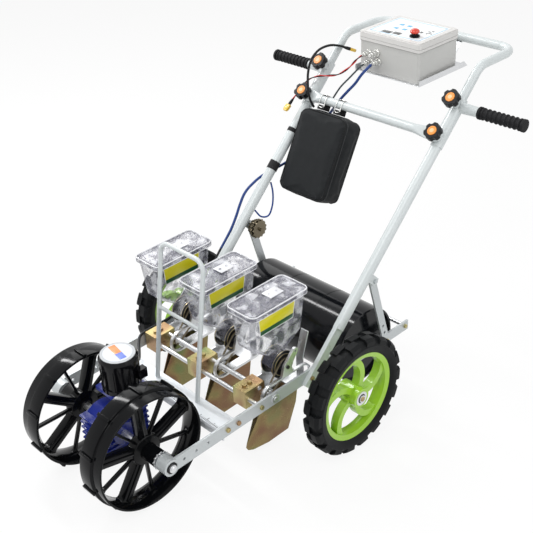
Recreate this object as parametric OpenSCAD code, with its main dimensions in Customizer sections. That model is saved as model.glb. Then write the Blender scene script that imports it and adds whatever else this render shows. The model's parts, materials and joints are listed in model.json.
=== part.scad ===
// Electric row seeder: a walk-behind frame on two driven front wheels and two rear wheels,
// with a bank of seed hoppers, furrow openers, a press roller and a telescopic handle.
// Lengths are millimetres. The front faces -Y, the handle is at +Y, the ground is z = 0.

/* [Wheels] */
// Radius of the driven front wheels over their cleats
front_r = 162; // [140:1:180]
// Width of a front wheel
front_w = 70; // [50:1:72]
// Distance between the front wheel centres
front_track = 246; // [236:1:250]
// Radius of the rear tyres over their lugs
rear_r = 165; // [145:1:190]
// Width of a rear tyre
rear_w = 55; // [40:1:70]
// Distance between the rear wheel centres
rear_track = 666; // [640:1:720]
// Radius of a rear rim at the tyre bead
rim_r = 123; // [105:1:128]
// Spokes in a rear rim
rim_spokes = 5; // [3:1:8]
// Pairs of thick and thin spokes in a front wheel
front_spokes = 5; // [3:1:8]

/* [Frame] */
// Distance over the outer faces of the rails
frame_w = 452; // [450:1:480]
// Thickness of the rails, rear arms and braces
rail_t = 6; // [4:0.5:8]
// Height of the rails and rear arms
rail_h = 36; // [30:1:44]
// Length of a rail behind the front axle
rail_len = 566; // [556:1:600]
// Front axle to rear axle, along the rail
wheelbase = 513; // [500:1:520]
// Rear axle below the rail's centre line
axle_drop = 30; // [24:1:34]
// Rear arm's centre line below the rail's
arm_drop = 49; // [44:1:56]
// Rear end of the rear arms behind the front axle
arm_end = 876; // [860:1:900]
// Diameter of the front axle
axle_d = 20; // [16:1:24]
// Diameter of the tool bars that carry the units
bar_d = 12; // [10:0.5:14]

/* [Guard hoop] */
// Distance between the centres of the hoop's posts
hoop_w = 158; // [120:1:200]
// Height of the hoop above the cross plate
hoop_h = 386; // [320:1:420]
// Diameter of the hoop's tube
hoop_d = 12; // [9:0.5:16]
// Backward lean of the hoop
hoop_lean = 8.9; // [0:0.1:10]

/* [Seeding units] */
// Distance between two rows
unit_pitch = 176; // [170:1:176]
// Length of a hopper's rim
hopper_len = 198; // [170:1:200]
// Width of a hopper's rim
hopper_wid = 94; // [80:1:100]
// Wall of the clear hoppers
hopper_wall = 2.4; // [1.6:0.1:3.5]
// Radius of the seed roller's flanges
roller_r = 38; // [34:1:41]
// Sheet thickness of the openers
opener_t = 3; // [2:0.5:4]

/* [Press roller] */
// Radius of the press roller
drum_r = 112; // [95:1:118]
// Length of the press roller
drum_len = 408; // [380:1:416]

/* [Handle] */
// Angle of the handle above the rails
handle_angle = 44.2; // [40:0.1:50]
// Outside diameter of the upper handle's tube
tube_d = 25; // [22:1:27]
// Outside diameter of the lower handle's tube
leg_d = 29; // [28:0.5:32]
// Distance along the handle from its foot to the lower clamp knob
low_knob_s = 700; // [680:1:720]
// Distance along the handle from its foot to the upper clamp knob and the grips
high_knob_s = 800; // [780:1:810]
// Straight length of the upper handle's stems
stem_len = 260; // [240:1:280]
// Straight length of the loop's sides behind the stems' bends
loop_run = 94; // [80:1:120]
// Length of a rubber grip
grip_len = 136; // [110:1:160]
// Diameter of a rubber grip over its ridges
grip_d = 34; // [30:1:40]

/* [Control box] */
// Width of the control box
box_w = 210; // [190:1:220]
// Depth of the control box
box_d = 176; // [160:1:184]
// Height of the control box with its lid
box_h = 112; // [100:1:130]

/* [Battery bag] */
// Width of the battery bag
bag_w = 180; // [150:1:184]
// Height of the battery bag
bag_h = 250; // [200:1:256]
// Depth of the battery bag
bag_d = 84; // [60:1:88]

/* [Hidden] */
$fn = 64;

// Fits shared by every piece
run_gap = 0.05;
press_gap = 0.02;
seat_gap = 0.2;

// The frame stands on wheels of two sizes, so it is pitched with its rear up
pitch = asin((rear_r - front_r) / norm([wheelbase, axle_drop])) + atan(axle_drop / wheelbase);
rail_in = frame_w / 2 - rail_t;
rail_out = frame_w / 2;
tube_r = tube_d / 2;
leg_r = leg_d / 2;

// Upper loop: stems, bends, side runs and rear corners along one bar
foot_u = 472;
insert_s = low_knob_s - 60;
loop_bend = 62;
loop_corner = 46;
loop_wall = 2;
bend_neck = 0.3;
bend_lap = 1;
bend_s = insert_s + stem_len;
loop_h = bend_s * sin(handle_angle) + loop_bend * (1 - cos(handle_angle));
loop_end = foot_u + bend_s * cos(handle_angle) + loop_bend * sin(handle_angle) + loop_run + loop_corner;
loop_back = loop_end * cos(pitch) - loop_h * sin(pitch) + tube_r;
front_axle_y = (front_r - loop_back) / 2;

// Holes and bolts along the rails
spare_holes = [40, 77, 114];
plate_bolts = [178, 213];
bar_u = 292;
shaft_u = 340;
foot_bolt_u = 462;
bracket_bolts = [497, 540];
bolt_r = 4;
head_r = 6.5;
head_h = 5;

// Front axle and its bearings
boss_r = 22;
boss_len = 24;
bearing_r = 16;
axle_end = rail_out + 8;
sprocket_x = rail_in - boss_len - 8;

// Worm gearbox and motor on the front axle
worm_off = 46;
gear_half = 42;
gear_r = 54;
motor_base = 96;
motor_r = 49;
motor_top = 190;

// Rear wheels on their stub axles
stub_r = 10;
stub_boss_r = 13.5;
stub_clear = 0.5;
hub_side = 7;

// Cross plate and hoop
plate_top = -11;
plate_t = 4;
plate_u = [166, 226];
hoop_u = 208;
hoop_r = hoop_d / 2;
hoop_corner = 28;
hoop_bar_h = 205;

// Seeding units: offsets across a unit are measured from its centre line
units = [-unit_pitch, 0, unit_pitch];
rear_bar = [328, 17];
bar_end = 3;
bar_r = bar_d / 2;
shaft_clear = 1;
opener_half = 13;
drop_w = 18;
drop_len = 40;
block_x = [-40, 5];
block_u = [280, 348];
block_w = [-24, 27];
block_t = 3;
ring_c = [[shaft_u, 2], [454, 2]];
ring_r = 32;
ring_t = 5;
ring_x = [29, 37];
side_x = [-37, -33];
base_w = [-26, -22];
base_u = [block_u[1] + seat_gap, 472];
shaft_r = 6;
roller_c = [401, 57];
roller_core_r = roller_r - 6;
roller_half = 21;
pin_r = 5;
drive_r = 11;
drive_teeth = 8;
driven_teeth = 14;
driven_r = drive_r * driven_teeth / drive_teeth;
chain_t = 3;
tooth_h = 3;
chain_gap = 0.3;
ear_c = roller_c + [29.7, 34.2];
ear_r = 9;
ear_boss_r = 6;
ear_pin_r = 3;
chain_x = [23, 27.5];
sprocket_t = 3.5;

// Hopper levels above the rail's centre line
rim_w = 262;
waist_w = 150;
throat_w = roller_c[1] + roller_r + 1;
hopper_u = 378;
waist_len = hopper_len - 26;
waist_wid = hopper_wid - 14;
throat_len = 54;
throat_wid = 2 * roller_half - 8;
throat_u = roller_c[0] - 6;
rim_flange = 4;
lid_h = 12;
lid_t = 2;
hood_t = 2.5;
level_t = 0.4;

// Handle, measured along the tube from its foot
leg_t = 12;
leg_w = 30;
leg_len = 150;
handle_x = rail_out + leg_t / 2;
sleeve_r = leg_r + 2.5;
sleeve_s = [low_knob_s - 22, high_knob_s + 22];
bore_s = leg_len + 10;
lug_s = 293;
lug_off = 36;
lug_in = rail_out + rail_t;
lug_t = 8;
lug_c = [
    foot_u + lug_s * cos(handle_angle) + lug_off * sin(handle_angle),
    lug_s * sin(handle_angle) - lug_off * cos(handle_angle)
];
knob_r = 24;
knob_h = 22;
stud_r = 4;
low_tab_t = 8;
boss_out = sleeve_r + 7;
high_boss_out = boss_out + low_tab_t;
cross_off = boss_out + low_tab_t / 2;
knob_gap = 0.4;
grip_x = handle_x + 68;
grip_bar_r = 10.5;

// Press roller
drum_u = 713;
drum_axle_r = 10;
drum_wall = 6;
drum_disc = 4;
drum_dish = 10;
tie_u = arm_end - 14;
brace_foot_u = 772;

// Control box on its tray, hung from the loop
box_u = loop_end - 260;
box_base_w = loop_h - 57;
lid_part_h = 26;
tray_t = 2;
tray_side = 14;
stop_at = [52, box_u + 46];
connector_grid = [[-68, 642], [-40, 648], [-62, 618], [-34, 624]];
connector_r = 8;
connector_len = 34;

// Battery bag, leaning back under the cross tube
bag_lean = 28;
bag_c = [-122, 891, 366];

// Leads, whose routes are given across, along and square to the rails
lead_d = 7;
pair_d = 6;
loom_d = 8;
grey_d = 5;

// Turns a flat outline in the rail's plane (along, up) into a plate across the frame
module plate_x(x0, thick) translate([x0, 0, 0]) rotate([90, 0, 90]) linear_extrude(thick) children();

// The pitched frame: X across, Y along the rail from the front axle, Z square to the rail
module on_frame() translate([0, front_axle_y, front_r]) rotate([pitch, 0, 0]) children();

// Along a handle tube: Z up the tube, -Y to the front
module on_handle(side, s = 0)
    translate([side * handle_x, foot_u, 0]) rotate([handle_angle - 90, 0, 0]) translate([0, 0, s]) children();

module cyl_x(x0, x1, r) translate([x0, 0, 0]) rotate([0, 90, 0]) cylinder(r = r, h = x1 - x0);

module at_uw(p) translate([0, p[0], p[1]]) children();

module mirror_sides() for (side = [-1, 1]) mirror([side < 0 ? 1 : 0, 0, 0]) children();

// Hexagon-headed bolt whose head sits on the face x = 0 and points to +X
module bolt_head(shank) {
    rotate([0, 90, 0]) cylinder(r = head_r, h = head_h, $fn = 6);
    translate([-shank, 0, 0]) rotate([0, 90, 0]) cylinder(r = bolt_r, h = shank + 1);
}

// Outline of a band round two circles
function tangent_point(c, r, a) = [c[0] + r * cos(a), c[1] + r * sin(a)];
module belt_2d(c1, r1, c2, r2) {
    d = norm(c2 - c1);
    dir = atan2(c2[1] - c1[1], c2[0] - c1[0]);
    spread = acos((r1 - r2) / d);
    translate(c1) circle(r = r1);
    translate(c2) circle(r = r2);
    polygon([
        tangent_point(c1, r1, dir + spread), tangent_point(c1, r1, dir - spread),
        tangent_point(c2, r2, dir - spread), tangent_point(c2, r2, dir + spread)
    ]);
}

// Toothed wheel with its tips at tip_r, across the X axis from x0
module sprocket(x0, thick, tip_r, teeth, bore_r) {
    root_r = tip_r - tooth_h;
    half = 0.68 * PI * root_r / teeth;
    tip = 0.35 * half;
    plate_x(x0, thick) difference() {
        union() {
            circle(r = root_r);
            for (i = [0:teeth - 1]) rotate(i * 360 / teeth)
                polygon([[0, -half], [root_r, -half], [tip_r, -tip], [tip_r, tip], [root_r, half], [0, half]]);
        }
        circle(r = bore_r);
    }
}

module rounded_rect(len, wid, r) {
    square([len - 2 * r, wid], center = true);
    square([len, wid - 2 * r], center = true);
    for (i = [-1, 1], j = [-1, 1]) translate([i * (len / 2 - r), j * (wid / 2 - r)]) circle(r = r, $fn = 32);
}

// Frame

module rail(side) {
    color("lightgray") on_frame() mirror([side < 0 ? 1 : 0, 0, 0]) difference() {
        union() {
            plate_x(rail_in, rail_t) union() {
                translate([0, -rail_h / 2]) square([rail_len, rail_h]);
                circle(r = boss_r);
            }
            cyl_x(rail_in - boss_len, rail_out + 3, boss_r);
        }
        cyl_x(rail_in - boss_len - 1, rail_out + 4, bearing_r);
        for (u = spare_holes) at_uw([u, 0]) cyl_x(rail_in - 1, rail_out + 1, bolt_r);
        for (u = concat(plate_bolts, [bar_u, foot_bolt_u]))
            at_uw([u, 0]) cyl_x(rail_in - 1, rail_out + 1, bolt_r + run_gap);
        for (u = bracket_bolts) at_uw([u, 0]) cyl_x(rail_in - 1, rail_out + 1, bolt_r + run_gap);
        at_uw([shaft_u, 0]) cyl_x(rail_in - 1, rail_out + 1, shaft_r + 4);
        at_uw([wheelbase, -axle_drop]) cyl_x(rail_in - 1, rail_out + 1, stub_boss_r + stub_clear);
    }
}

module rail_left() rail(-1);
module rail_right() rail(1);

// Bars behind the rear wheels that carry the press roller
module rear_arms() {
    arm_front = wheelbase - 40;
    color("lightgray") on_frame() mirror_sides() plate_x(rail_in, rail_t) difference() {
        translate([arm_front, -arm_drop - rail_h / 2 + 2]) square([arm_end - arm_front, rail_h - 6]);
        translate([wheelbase, -axle_drop]) circle(r = stub_boss_r + stub_clear);
        for (u = bracket_bolts) translate([u, -arm_drop]) circle(r = bolt_r + run_gap);
        translate([drum_u, -arm_drop]) circle(r = drum_axle_r + run_gap);
        translate([tie_u, -arm_drop]) circle(r = bolt_r + run_gap);
        translate([brace_foot_u, -arm_drop]) circle(r = bolt_r + run_gap);
    }
}

// Graduated cross plate with a turned-down front lip and ends bolted to the rails
module cross_plate() {
    lip = 20;
    tab_h = 24;
    color("silver") on_frame() difference() {
        union() {
            plate_x(-rail_in, 2 * rail_in)
                polygon([
                    [plate_u[0], plate_top - lip], [plate_u[0] + plate_t, plate_top - lip],
                    [plate_u[0] + plate_t, plate_top - plate_t], [plate_u[1], plate_top - plate_t],
                    [plate_u[1], plate_top], [plate_u[0] + plate_t, plate_top],
                    [plate_u[0], plate_top - plate_t]
                ]);
            for (x = [-rail_in, rail_in - plate_t])
                plate_x(x, plate_t)
                    translate([plate_u[0] + plate_t, plate_top - plate_t])
                        square([plate_u[1] - plate_u[0] - plate_t, tab_h]);
        }
        for (u = plate_bolts)
            at_uw([u, 0]) cyl_x(-rail_out, rail_out, bolt_r + run_gap);
    }
}

// Bent guard hoop with a cross rung, standing on the cross plate
module guard_hoop() {
    post = hoop_h - hoop_corner;
    half = hoop_w / 2;
    color("whitesmoke") on_frame() intersection() {
        translate([0, hoop_u, plate_top]) rotate([-hoop_lean, 0, 0]) union() {
            for (side = [-1, 1]) {
                translate([side * half, 0, -10]) cylinder(r = hoop_r, h = post + 10);
                translate([side * (half - hoop_corner), 0, post])
                    rotate([90, 0, 0]) rotate([0, 0, side > 0 ? 0 : 90])
                        rotate_extrude(angle = 90) translate([hoop_corner, 0]) circle(r = hoop_r);
            }
            translate([0, 0, hoop_h]) cyl_x(-half + hoop_corner, half - hoop_corner, hoop_r);
            translate([0, 0, hoop_bar_h]) cyl_x(-half, half, hoop_r - 1);
        }
        translate([-hoop_w, 0, plate_top]) cube([2 * hoop_w, 3 * hoop_u, 2 * hoop_h]);
    }
}

// Front bar between the rails and rear bar through the unit blocks
module tool_bars() {
    color("silver") on_frame() {
        at_uw([bar_u, 0]) cyl_x(-rail_in, rail_in, bar_r);
        at_uw(rear_bar) cyl_x(units[0] + block_x[0] - bar_end, units[2] + block_x[1] + bar_end, bar_r);
    }
}

module frame_bolts() {
    color("goldenrod") on_frame() mirror_sides() {
        for (u = plate_bolts) at_uw([u, 0]) translate([rail_out, 0, 0]) bolt_head(rail_t + plate_t);
        at_uw([bar_u, 0]) translate([rail_out, 0, 0]) bolt_head(rail_t);
        at_uw([tie_u, -arm_drop]) translate([rail_out, 0, 0]) bolt_head(rail_t);
        at_uw([brace_foot_u, -arm_drop]) translate([rail_out + rail_t, 0, 0]) bolt_head(2 * rail_t);
        at_uw([foot_bolt_u, 0]) translate([rail_out + leg_t, 0, 0]) bolt_head(rail_t + leg_t);
        for (u = bracket_bolts, w = [0, -arm_drop])
            at_uw([u, w]) mirror([1, 0, 0]) translate([-rail_in + rail_t, 0, 0]) bolt_head(2 * rail_t);
    }
}

// Bearings of the front axle in the rails' bosses and flanged bushes of the seed shaft
module shaft_bearings() {
    color("gainsboro") on_frame() mirror_sides() {
        difference() {
            cyl_x(rail_in - boss_len, rail_out + 2, bearing_r - press_gap);
            cyl_x(rail_in - boss_len - 1, rail_out + 3, axle_d / 2 + run_gap);
        }
        at_uw([shaft_u, 0]) difference() {
            union() {
                cyl_x(rail_in, rail_out + 1, shaft_r + 4 - press_gap);
                cyl_x(rail_out, rail_out + 3, shaft_r + 7);
            }
            cyl_x(rail_in - 1, rail_out + 4, shaft_r + run_gap);
        }
    }
}

// Drop brackets inside the rails, each with its stub axle for a rear wheel
module rear_axles() {
    hub_in = rear_track / 2 - rear_w / 2 - hub_side - seat_gap;
    color("silver") on_frame() mirror_sides() {
        plate_x(rail_in - rail_t, rail_t) difference() {
            translate([wheelbase - 40, -arm_drop - rail_h / 2 + 2]) square([80, arm_drop + rail_h - 4]);
            for (u = bracket_bolts, w = [0, -arm_drop]) translate([u, w]) circle(r = bolt_r + run_gap);
        }
        at_uw([wheelbase, -axle_drop]) {
            cyl_x(rail_in - rail_t / 2, hub_in, stub_boss_r);
            cyl_x(hub_in - 1, rear_track / 2 + rear_w / 2 + 5, stub_r);
        }
    }
}

// Shaft of the press roller and the tie bar at the rear of the arms
module roller_axle() {
    color("silver") on_frame() {
        at_uw([drum_u, -arm_drop]) cyl_x(-rail_out - 6, rail_out + 6, drum_axle_r);
        at_uw([tie_u, -arm_drop]) cyl_x(-rail_in, rail_in, bar_r);
    }
}

// Handle

// Lower handle: flattened leg, round tube, clamp sleeve with bosses, grip arm and brace lug
module handle(side) {
    arm_r = sleeve_r - 1;
    color("whitesmoke") on_frame() difference() {
        union() {
            on_handle(side) {
                translate([-leg_t / 2, -leg_w / 2, -34]) cube([leg_t, leg_w, leg_len + 34]);
                translate([0, 0, leg_len - 14]) cylinder(r = leg_r, h = sleeve_s[1] - leg_len + 14);
                translate([0, 0, sleeve_s[0]]) cylinder(r = sleeve_r, h = sleeve_s[1] - sleeve_s[0]);
                translate([0, 0, low_knob_s]) rotate([90, 0, 0]) cylinder(r = 12, h = boss_out);
                translate([0, 0, high_knob_s]) rotate([90, 0, 0]) cylinder(r = 12, h = high_boss_out);
                translate([side > 0 ? lug_in - handle_x : handle_x - lug_in - lug_t, 0, lug_s - 12])
                    cube([lug_t, lug_off + 10, 24]);
                translate([0, 0, high_knob_s]) rotate([0, side * 90, 0]) {
                    cylinder(r1 = arm_r, r2 = 13, h = grip_x - handle_x - 1);
                    cylinder(r = grip_bar_r, h = grip_x - handle_x + grip_len - 6);
                }
            }
        }
        on_handle(side) {
            translate([0, 0, bore_s]) cylinder(r = tube_r + run_gap, h = sleeve_s[1]);
            translate([0, 1, low_knob_s]) rotate([90, 0, 0]) cylinder(r = stud_r + run_gap, h = 80);
            translate([0, 1, high_knob_s]) rotate([90, 0, 0]) cylinder(r = stud_r + run_gap, h = 80);
            translate([-20, lug_off, lug_s]) rotate([0, 90, 0]) cylinder(r = bolt_r + run_gap, h = 40);
        }
        at_uw([foot_bolt_u, 0]) cyl_x(-rail_out - leg_t - 1, rail_out + leg_t + 1, bolt_r + run_gap);
    }
}

module handle_left() handle(-1);
module handle_right() handle(1);

// Cross tube between the handles, flattened at its ends under the lower knobs
module cross_tube() {
    flat_x = handle_x - 66;
    color("whitesmoke") on_frame() on_handle(1, low_knob_s) translate([-handle_x, -cross_off, 0]) difference() {
        union() {
            cyl_x(-flat_x, flat_x, tube_r);
            mirror_sides() {
                hull() {
                    cyl_x(flat_x - 1, flat_x, tube_r);
                    translate([handle_x - 26, -low_tab_t / 2, -17]) cube([2, low_tab_t, 34]);
                }
                translate([handle_x - 25, -low_tab_t / 2, -17]) cube([25, low_tab_t, 34]);
                translate([handle_x, low_tab_t / 2, 0]) rotate([90, 0, 0]) cylinder(r = 17, h = low_tab_t);
            }
        }
        for (side = [-1, 1])
            translate([side * handle_x, cross_off, 0]) rotate([90, 0, 0])
                cylinder(r = stud_r + run_gap, h = 80);
    }
}

// Flat braces from the handle's lugs to the rear arms
module braces() {
    half = 12;
    foot = [brace_foot_u, -arm_drop];
    color("lightgray") on_frame() mirror_sides() {
        plate_x(rail_out, rail_t) difference() {
            belt_2d(lug_c, half, foot, half);
            translate(lug_c) circle(r = bolt_r - 1);
            translate(foot) circle(r = bolt_r + run_gap);
            for (k = [0.14, 0.25]) translate(foot + k * (lug_c - foot)) circle(r = bolt_r);
        }
        at_uw(lug_c) {
            translate([lug_in + lug_t, 0, 0]) bolt_head(lug_t + rail_t);
            translate([rail_out, 0, 0]) mirror([1, 0, 0]) bolt_head(rail_t);
        }
    }
}

// Moulded rubber grips with rings of ridges
module grips() {
    rings = 9;
    step = (grip_len - 14) / rings;
    color("dimgray") on_frame() for (side = [-1, 1])
        on_handle(side, high_knob_s) translate([side * (grip_x - handle_x), 0, 0]) rotate([0, side * 90, 0])
            difference() {
                union() {
                    cylinder(r = grip_d / 2 - 3, h = grip_len);
                    cylinder(r = grip_d / 2, h = 7);
                    translate([0, 0, grip_len - 7]) cylinder(r = grip_d / 2, h = 7);
                    for (i = [0:rings - 1])
                        translate([0, 0, 7 + step * (i + 0.5)]) rotate_extrude()
                            translate([grip_d / 2 - 3.5, 0]) circle(r = 3.2, $fn = 16);
                }
                translate([0, 0, -1]) cylinder(r = grip_bar_r + run_gap, h = grip_len - 5 + run_gap);
            }
}

// Half of the loop as a bar of radius r: the bends neck a little, and the straights lap over their ends
module loop_half(r, reach) on_handle(1, insert_s) {
    translate([0, 0, -reach]) cylinder(r = r, h = stem_len + reach + bend_lap);
    translate([0, loop_bend, stem_len]) {
        rotate([90, 0, -90]) rotate_extrude(angle = handle_angle) translate([loop_bend, 0]) circle(r = r - bend_neck);
        rotate([-handle_angle, 0, 0]) translate([0, -loop_bend, 0]) {
            translate([0, 0, -bend_lap]) cylinder(r = r, h = loop_run + 2 * bend_lap);
            translate([-loop_corner, 0, loop_run]) rotate([90, 0, 0])
                rotate_extrude(angle = 90) translate([loop_corner, 0]) circle(r = r - bend_neck);
        }
    }
}

// Telescopic loop as a bar of radius r: both halves and the cross bar between them
module loop_bar(r, reach) {
    half = handle_x - loop_corner + bend_lap;
    mirror_sides() loop_half(r, reach);
    translate([0, loop_end, loop_h]) cyl_x(-half, half, r);
}

// Telescopic loop of tube that slides in the lower handles
module upper_handle() {
    color("whitesmoke") on_frame() difference() {
        loop_bar(tube_r, 0);
        loop_bar(tube_r - loop_wall, 1);
    }
}

// Star knob with a stud: its head points along -Y of the handle
module knob(side, s, seat) {
    lobes = 6;
    color("black") on_frame() on_handle(side, s) rotate([90, 0, 0]) {
        translate([0, 0, tube_r + 1.5]) cylinder(r = stud_r, h = seat - tube_r);
        translate([0, 0, seat + knob_gap]) {
            cylinder(r = 11, h = knob_h);
            difference() {
                translate([0, 0, 5]) cylinder(r = knob_r, h = knob_h - 5);
                for (i = [0:lobes - 1])
                    rotate(i * 360 / lobes) translate([knob_r + 4, 0, 4]) cylinder(r = 8, h = knob_h);
            }
        }
    }
}

module knob_low_left() knob(-1, low_knob_s, boss_out + low_tab_t);
module knob_low_right() knob(1, low_knob_s, boss_out + low_tab_t);
module knob_high_left() knob(-1, high_knob_s, high_boss_out);
module knob_high_right() knob(1, high_knob_s, high_boss_out);

// Drive

// Worm gearbox on the front axle
module gearbox() {
    fins = 5;
    color("mediumblue") on_frame() difference() {
        union() {
            cyl_x(-gear_half, gear_half, gear_r);
            cyl_x(-gear_half - 8, gear_half + 8, 30);
            translate([-gear_half, 6, -gear_r]) cube([2 * gear_half, worm_off + 26, 2 * gear_r - 4]);
            translate([0, worm_off, gear_r - 10]) cylinder(r = 34, h = motor_base - gear_r - 2);
            translate([-46, worm_off - 46, motor_base - 12]) cube([92, 92, 12]);
            for (i = [0:fins - 1])
                translate([-gear_half - 5, 0, -34 + i * 17]) cube([2 * gear_half + 10, worm_off + 34, 5]);
        }
        cyl_x(-gear_half - 20, gear_half + 20, axle_d / 2 + run_gap);
    }
}

// Vertical motor with cooling ribs and a domed end cap
module motor() {
    ribs = 12;
    cap = 10;
    color("black") on_frame() translate([0, worm_off, motor_base]) {
        cylinder(r = motor_r - 3, h = motor_top - motor_base - cap);
        for (i = [0:ribs - 1])
            rotate(i * 360 / ribs) translate([motor_r - 8, -4, 0]) cube([7, 8, motor_top - motor_base - cap]);
        cylinder(r = motor_r, h = 12);
        translate([0, 0, motor_top - motor_base - cap - 14]) cylinder(r = motor_r, h = 14);
        translate([0, 0, motor_top - motor_base - cap]) cylinder(r1 = motor_r, r2 = motor_r - 5, h = cap);
        translate([motor_r - 14, 18, 30]) cube([18, 24, 26]);
    }
}

// Front axle with its drive sprocket and end collars
module front_axle() {
    teeth = 13;
    color("silver") on_frame() {
        cyl_x(-axle_end, axle_end, axle_d / 2);
        sprocket(sprocket_x, sprocket_t, 24, teeth, axle_d / 2 - 0.5);
        for (side = [-1, 1]) translate([side * (rail_in - boss_len - 3), 0, 0]) cyl_x(-2.5, 2.5, 15);
    }
}

// Moulded front wheel: stepped rim, thick and thin spokes, long hub and low cleats
module front_wheel(side) {
    tread_r = front_r - 5;
    rim_t = 10;
    web = 26;
    cleats = 10;
    cleat_angle = 3.2;
    hub_r = 22;
    hub_out = sprocket_x - 1 - front_track / 2;
    step = 360 / front_spokes;
    color([0.06, 0.06, 0.06]) on_frame() rotate([-pitch - cleat_angle / 2, 0, 0])
        mirror([side < 0 ? 1 : 0, 0, 0]) translate([front_track / 2, 0, 0]) difference() {
            union() {
                rotate([0, 90, 0]) rotate_extrude($fn = 96)
                    polygon([
                        [tread_r - rim_t - 8, -web / 2], [tread_r - rim_t, -front_w / 2 + 8],
                        [tread_r - rim_t + 4, -front_w / 2], [tread_r, -front_w / 2],
                        [tread_r, front_w / 2 - 16], [tread_r - 5, front_w / 2 - 14],
                        [tread_r - 5, front_w / 2], [tread_r - rim_t, front_w / 2],
                        [tread_r - rim_t - 8, web / 2]
                    ]);
                for (i = [0:cleats - 1])
                    rotate([i * 360 / cleats, 0, 0]) rotate([0, 90, 0]) rotate_extrude(angle = cleat_angle)
                        translate([tread_r - 4, -front_w / 2]) square([9, front_w - 16]);
                plate_x(-web / 2, web) for (i = [0:front_spokes - 1]) rotate(i * step) {
                    translate([0, -11]) square([tread_r - rim_t - 2, 22]);
                    rotate(step / 2) translate([0, -4.5]) square([tread_r - rim_t - 2, 9]);
                }
                cyl_x(-web / 2 - 6, hub_out, hub_r);
                cyl_x(-web / 2, web / 2 + 4, 34);
            }
            cyl_x(-front_w, hub_out + 1, axle_d / 2 + run_gap);
        }
}

module front_wheel_left() front_wheel(-1);
module front_wheel_right() front_wheel(1);

// Rear wheels

module on_rear_wheel(side)
    on_frame() mirror([side < 0 ? 1 : 0, 0, 0]) translate([rear_track / 2, wheelbase, -axle_drop]) children();

// Tyre with staggered shoulder lugs
module rear_tyre(side) {
    half = rear_w / 2;
    base_r = rear_r - 7;
    lugs = 18;
    lug_a = 360 / lugs;
    color([0.1, 0.1, 0.1]) on_rear_wheel(side) rotate([0, 90, 0]) {
        rotate_extrude($fn = 96)
            polygon([
                [rim_r + 0.2, -half + 8], [rim_r + 12, -half + 1], [rim_r + 22, -half], [base_r - 8, -half + 4],
                [base_r, -half + 12], [base_r, half - 12], [base_r - 8, half - 4], [rim_r + 22, half],
                [rim_r + 12, half - 1], [rim_r + 0.2, half - 8]
            ]);
        for (i = [0:lugs - 1], flip = [0, 1])
            rotate((i + flip / 2) * lug_a) mirror([0, 0, flip]) rotate_extrude(angle = lug_a * 0.58)
                polygon([
                    [base_r - 14, 1], [rear_r, 1], [rear_r, half - 10], [rear_r - 7, half - 1],
                    [base_r - 14, half - 1]
                ]);
    }
}

// Spoked rim: round section ring, curved spokes and a hub
module rear_rim(side) {
    half = rear_w / 2 - 8;
    ring_in = rim_r - 13;
    hub_r = 27;
    step = 360 / rim_spokes;
    arc_r = 62;
    spoke_w = 17;
    color("yellowgreen") on_rear_wheel(side) difference() {
        union() {
            rotate([0, 90, 0]) rotate_extrude($fn = 96)
                polygon([
                    [ring_in, -half + 4], [rim_r, -half], [rim_r, half], [ring_in, half - 4], [ring_in - 3, 0]
                ]);
            plate_x(-11, 22) intersection() {
                circle(r = ring_in + 4);
                for (i = [0:rim_spokes - 1])
                    rotate(i * step) translate([arc_r - 2, -arc_r * 0.55]) difference() {
                        circle(r = arc_r + spoke_w / 2);
                        circle(r = arc_r - spoke_w / 2);
                        translate([-2 * arc_r, -2.6 * arc_r]) square([4 * arc_r, 2.6 * arc_r]);
                    }
            }
            cyl_x(-rear_w / 2 - hub_side, rear_w / 2 + 1, hub_r);
        }
        cyl_x(-rear_w, rear_w, stub_r + run_gap);
    }
}

module rear_tyre_left() rear_tyre(-1);
module rear_tyre_right() rear_tyre(1);
module rear_rim_left() rear_rim(-1);
module rear_rim_right() rear_rim(1);

// Press roller: a hollow drum in three bands, with dished ends on a tube and a drain hole in each end
module press_roller() {
    half = drum_len / 2;
    band = drum_len / 3;
    groove = 1.2;
    tube = 24;
    skin = drum_r - drum_wall;
    color([0.05, 0.05, 0.06]) on_frame() at_uw([drum_u, -arm_drop]) rotate([0, 90, 0]) difference() {
        cylinder(r = drum_r, h = drum_len, center = true, $fn = 128);
        for (k = [-1, 1]) translate([0, 0, k * band / 2]) rotate_extrude($fn = 128)
            translate([drum_r - groove, -groove]) square([groove + 1, 2 * groove]);
        for (k = [-1, 1]) translate([0, 0, k * half]) rotate_extrude($fn = 128)
            translate([tube, -drum_dish]) square([skin - tube, 2 * drum_dish]);
        rotate_extrude($fn = 128)
            translate([tube, -half + drum_dish + drum_disc])
                square([skin - tube, drum_len - 2 * drum_dish - 2 * drum_disc]);
        for (k = [-1, 1]) translate([(skin + tube) / 2, 0, k * (half - drum_dish)])
            cylinder(r = bolt_r, h = 3 * drum_disc, center = true);
        cylinder(r = drum_axle_r + run_gap, h = drum_len + 2, center = true);
    }
}

// Seeding units

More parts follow.
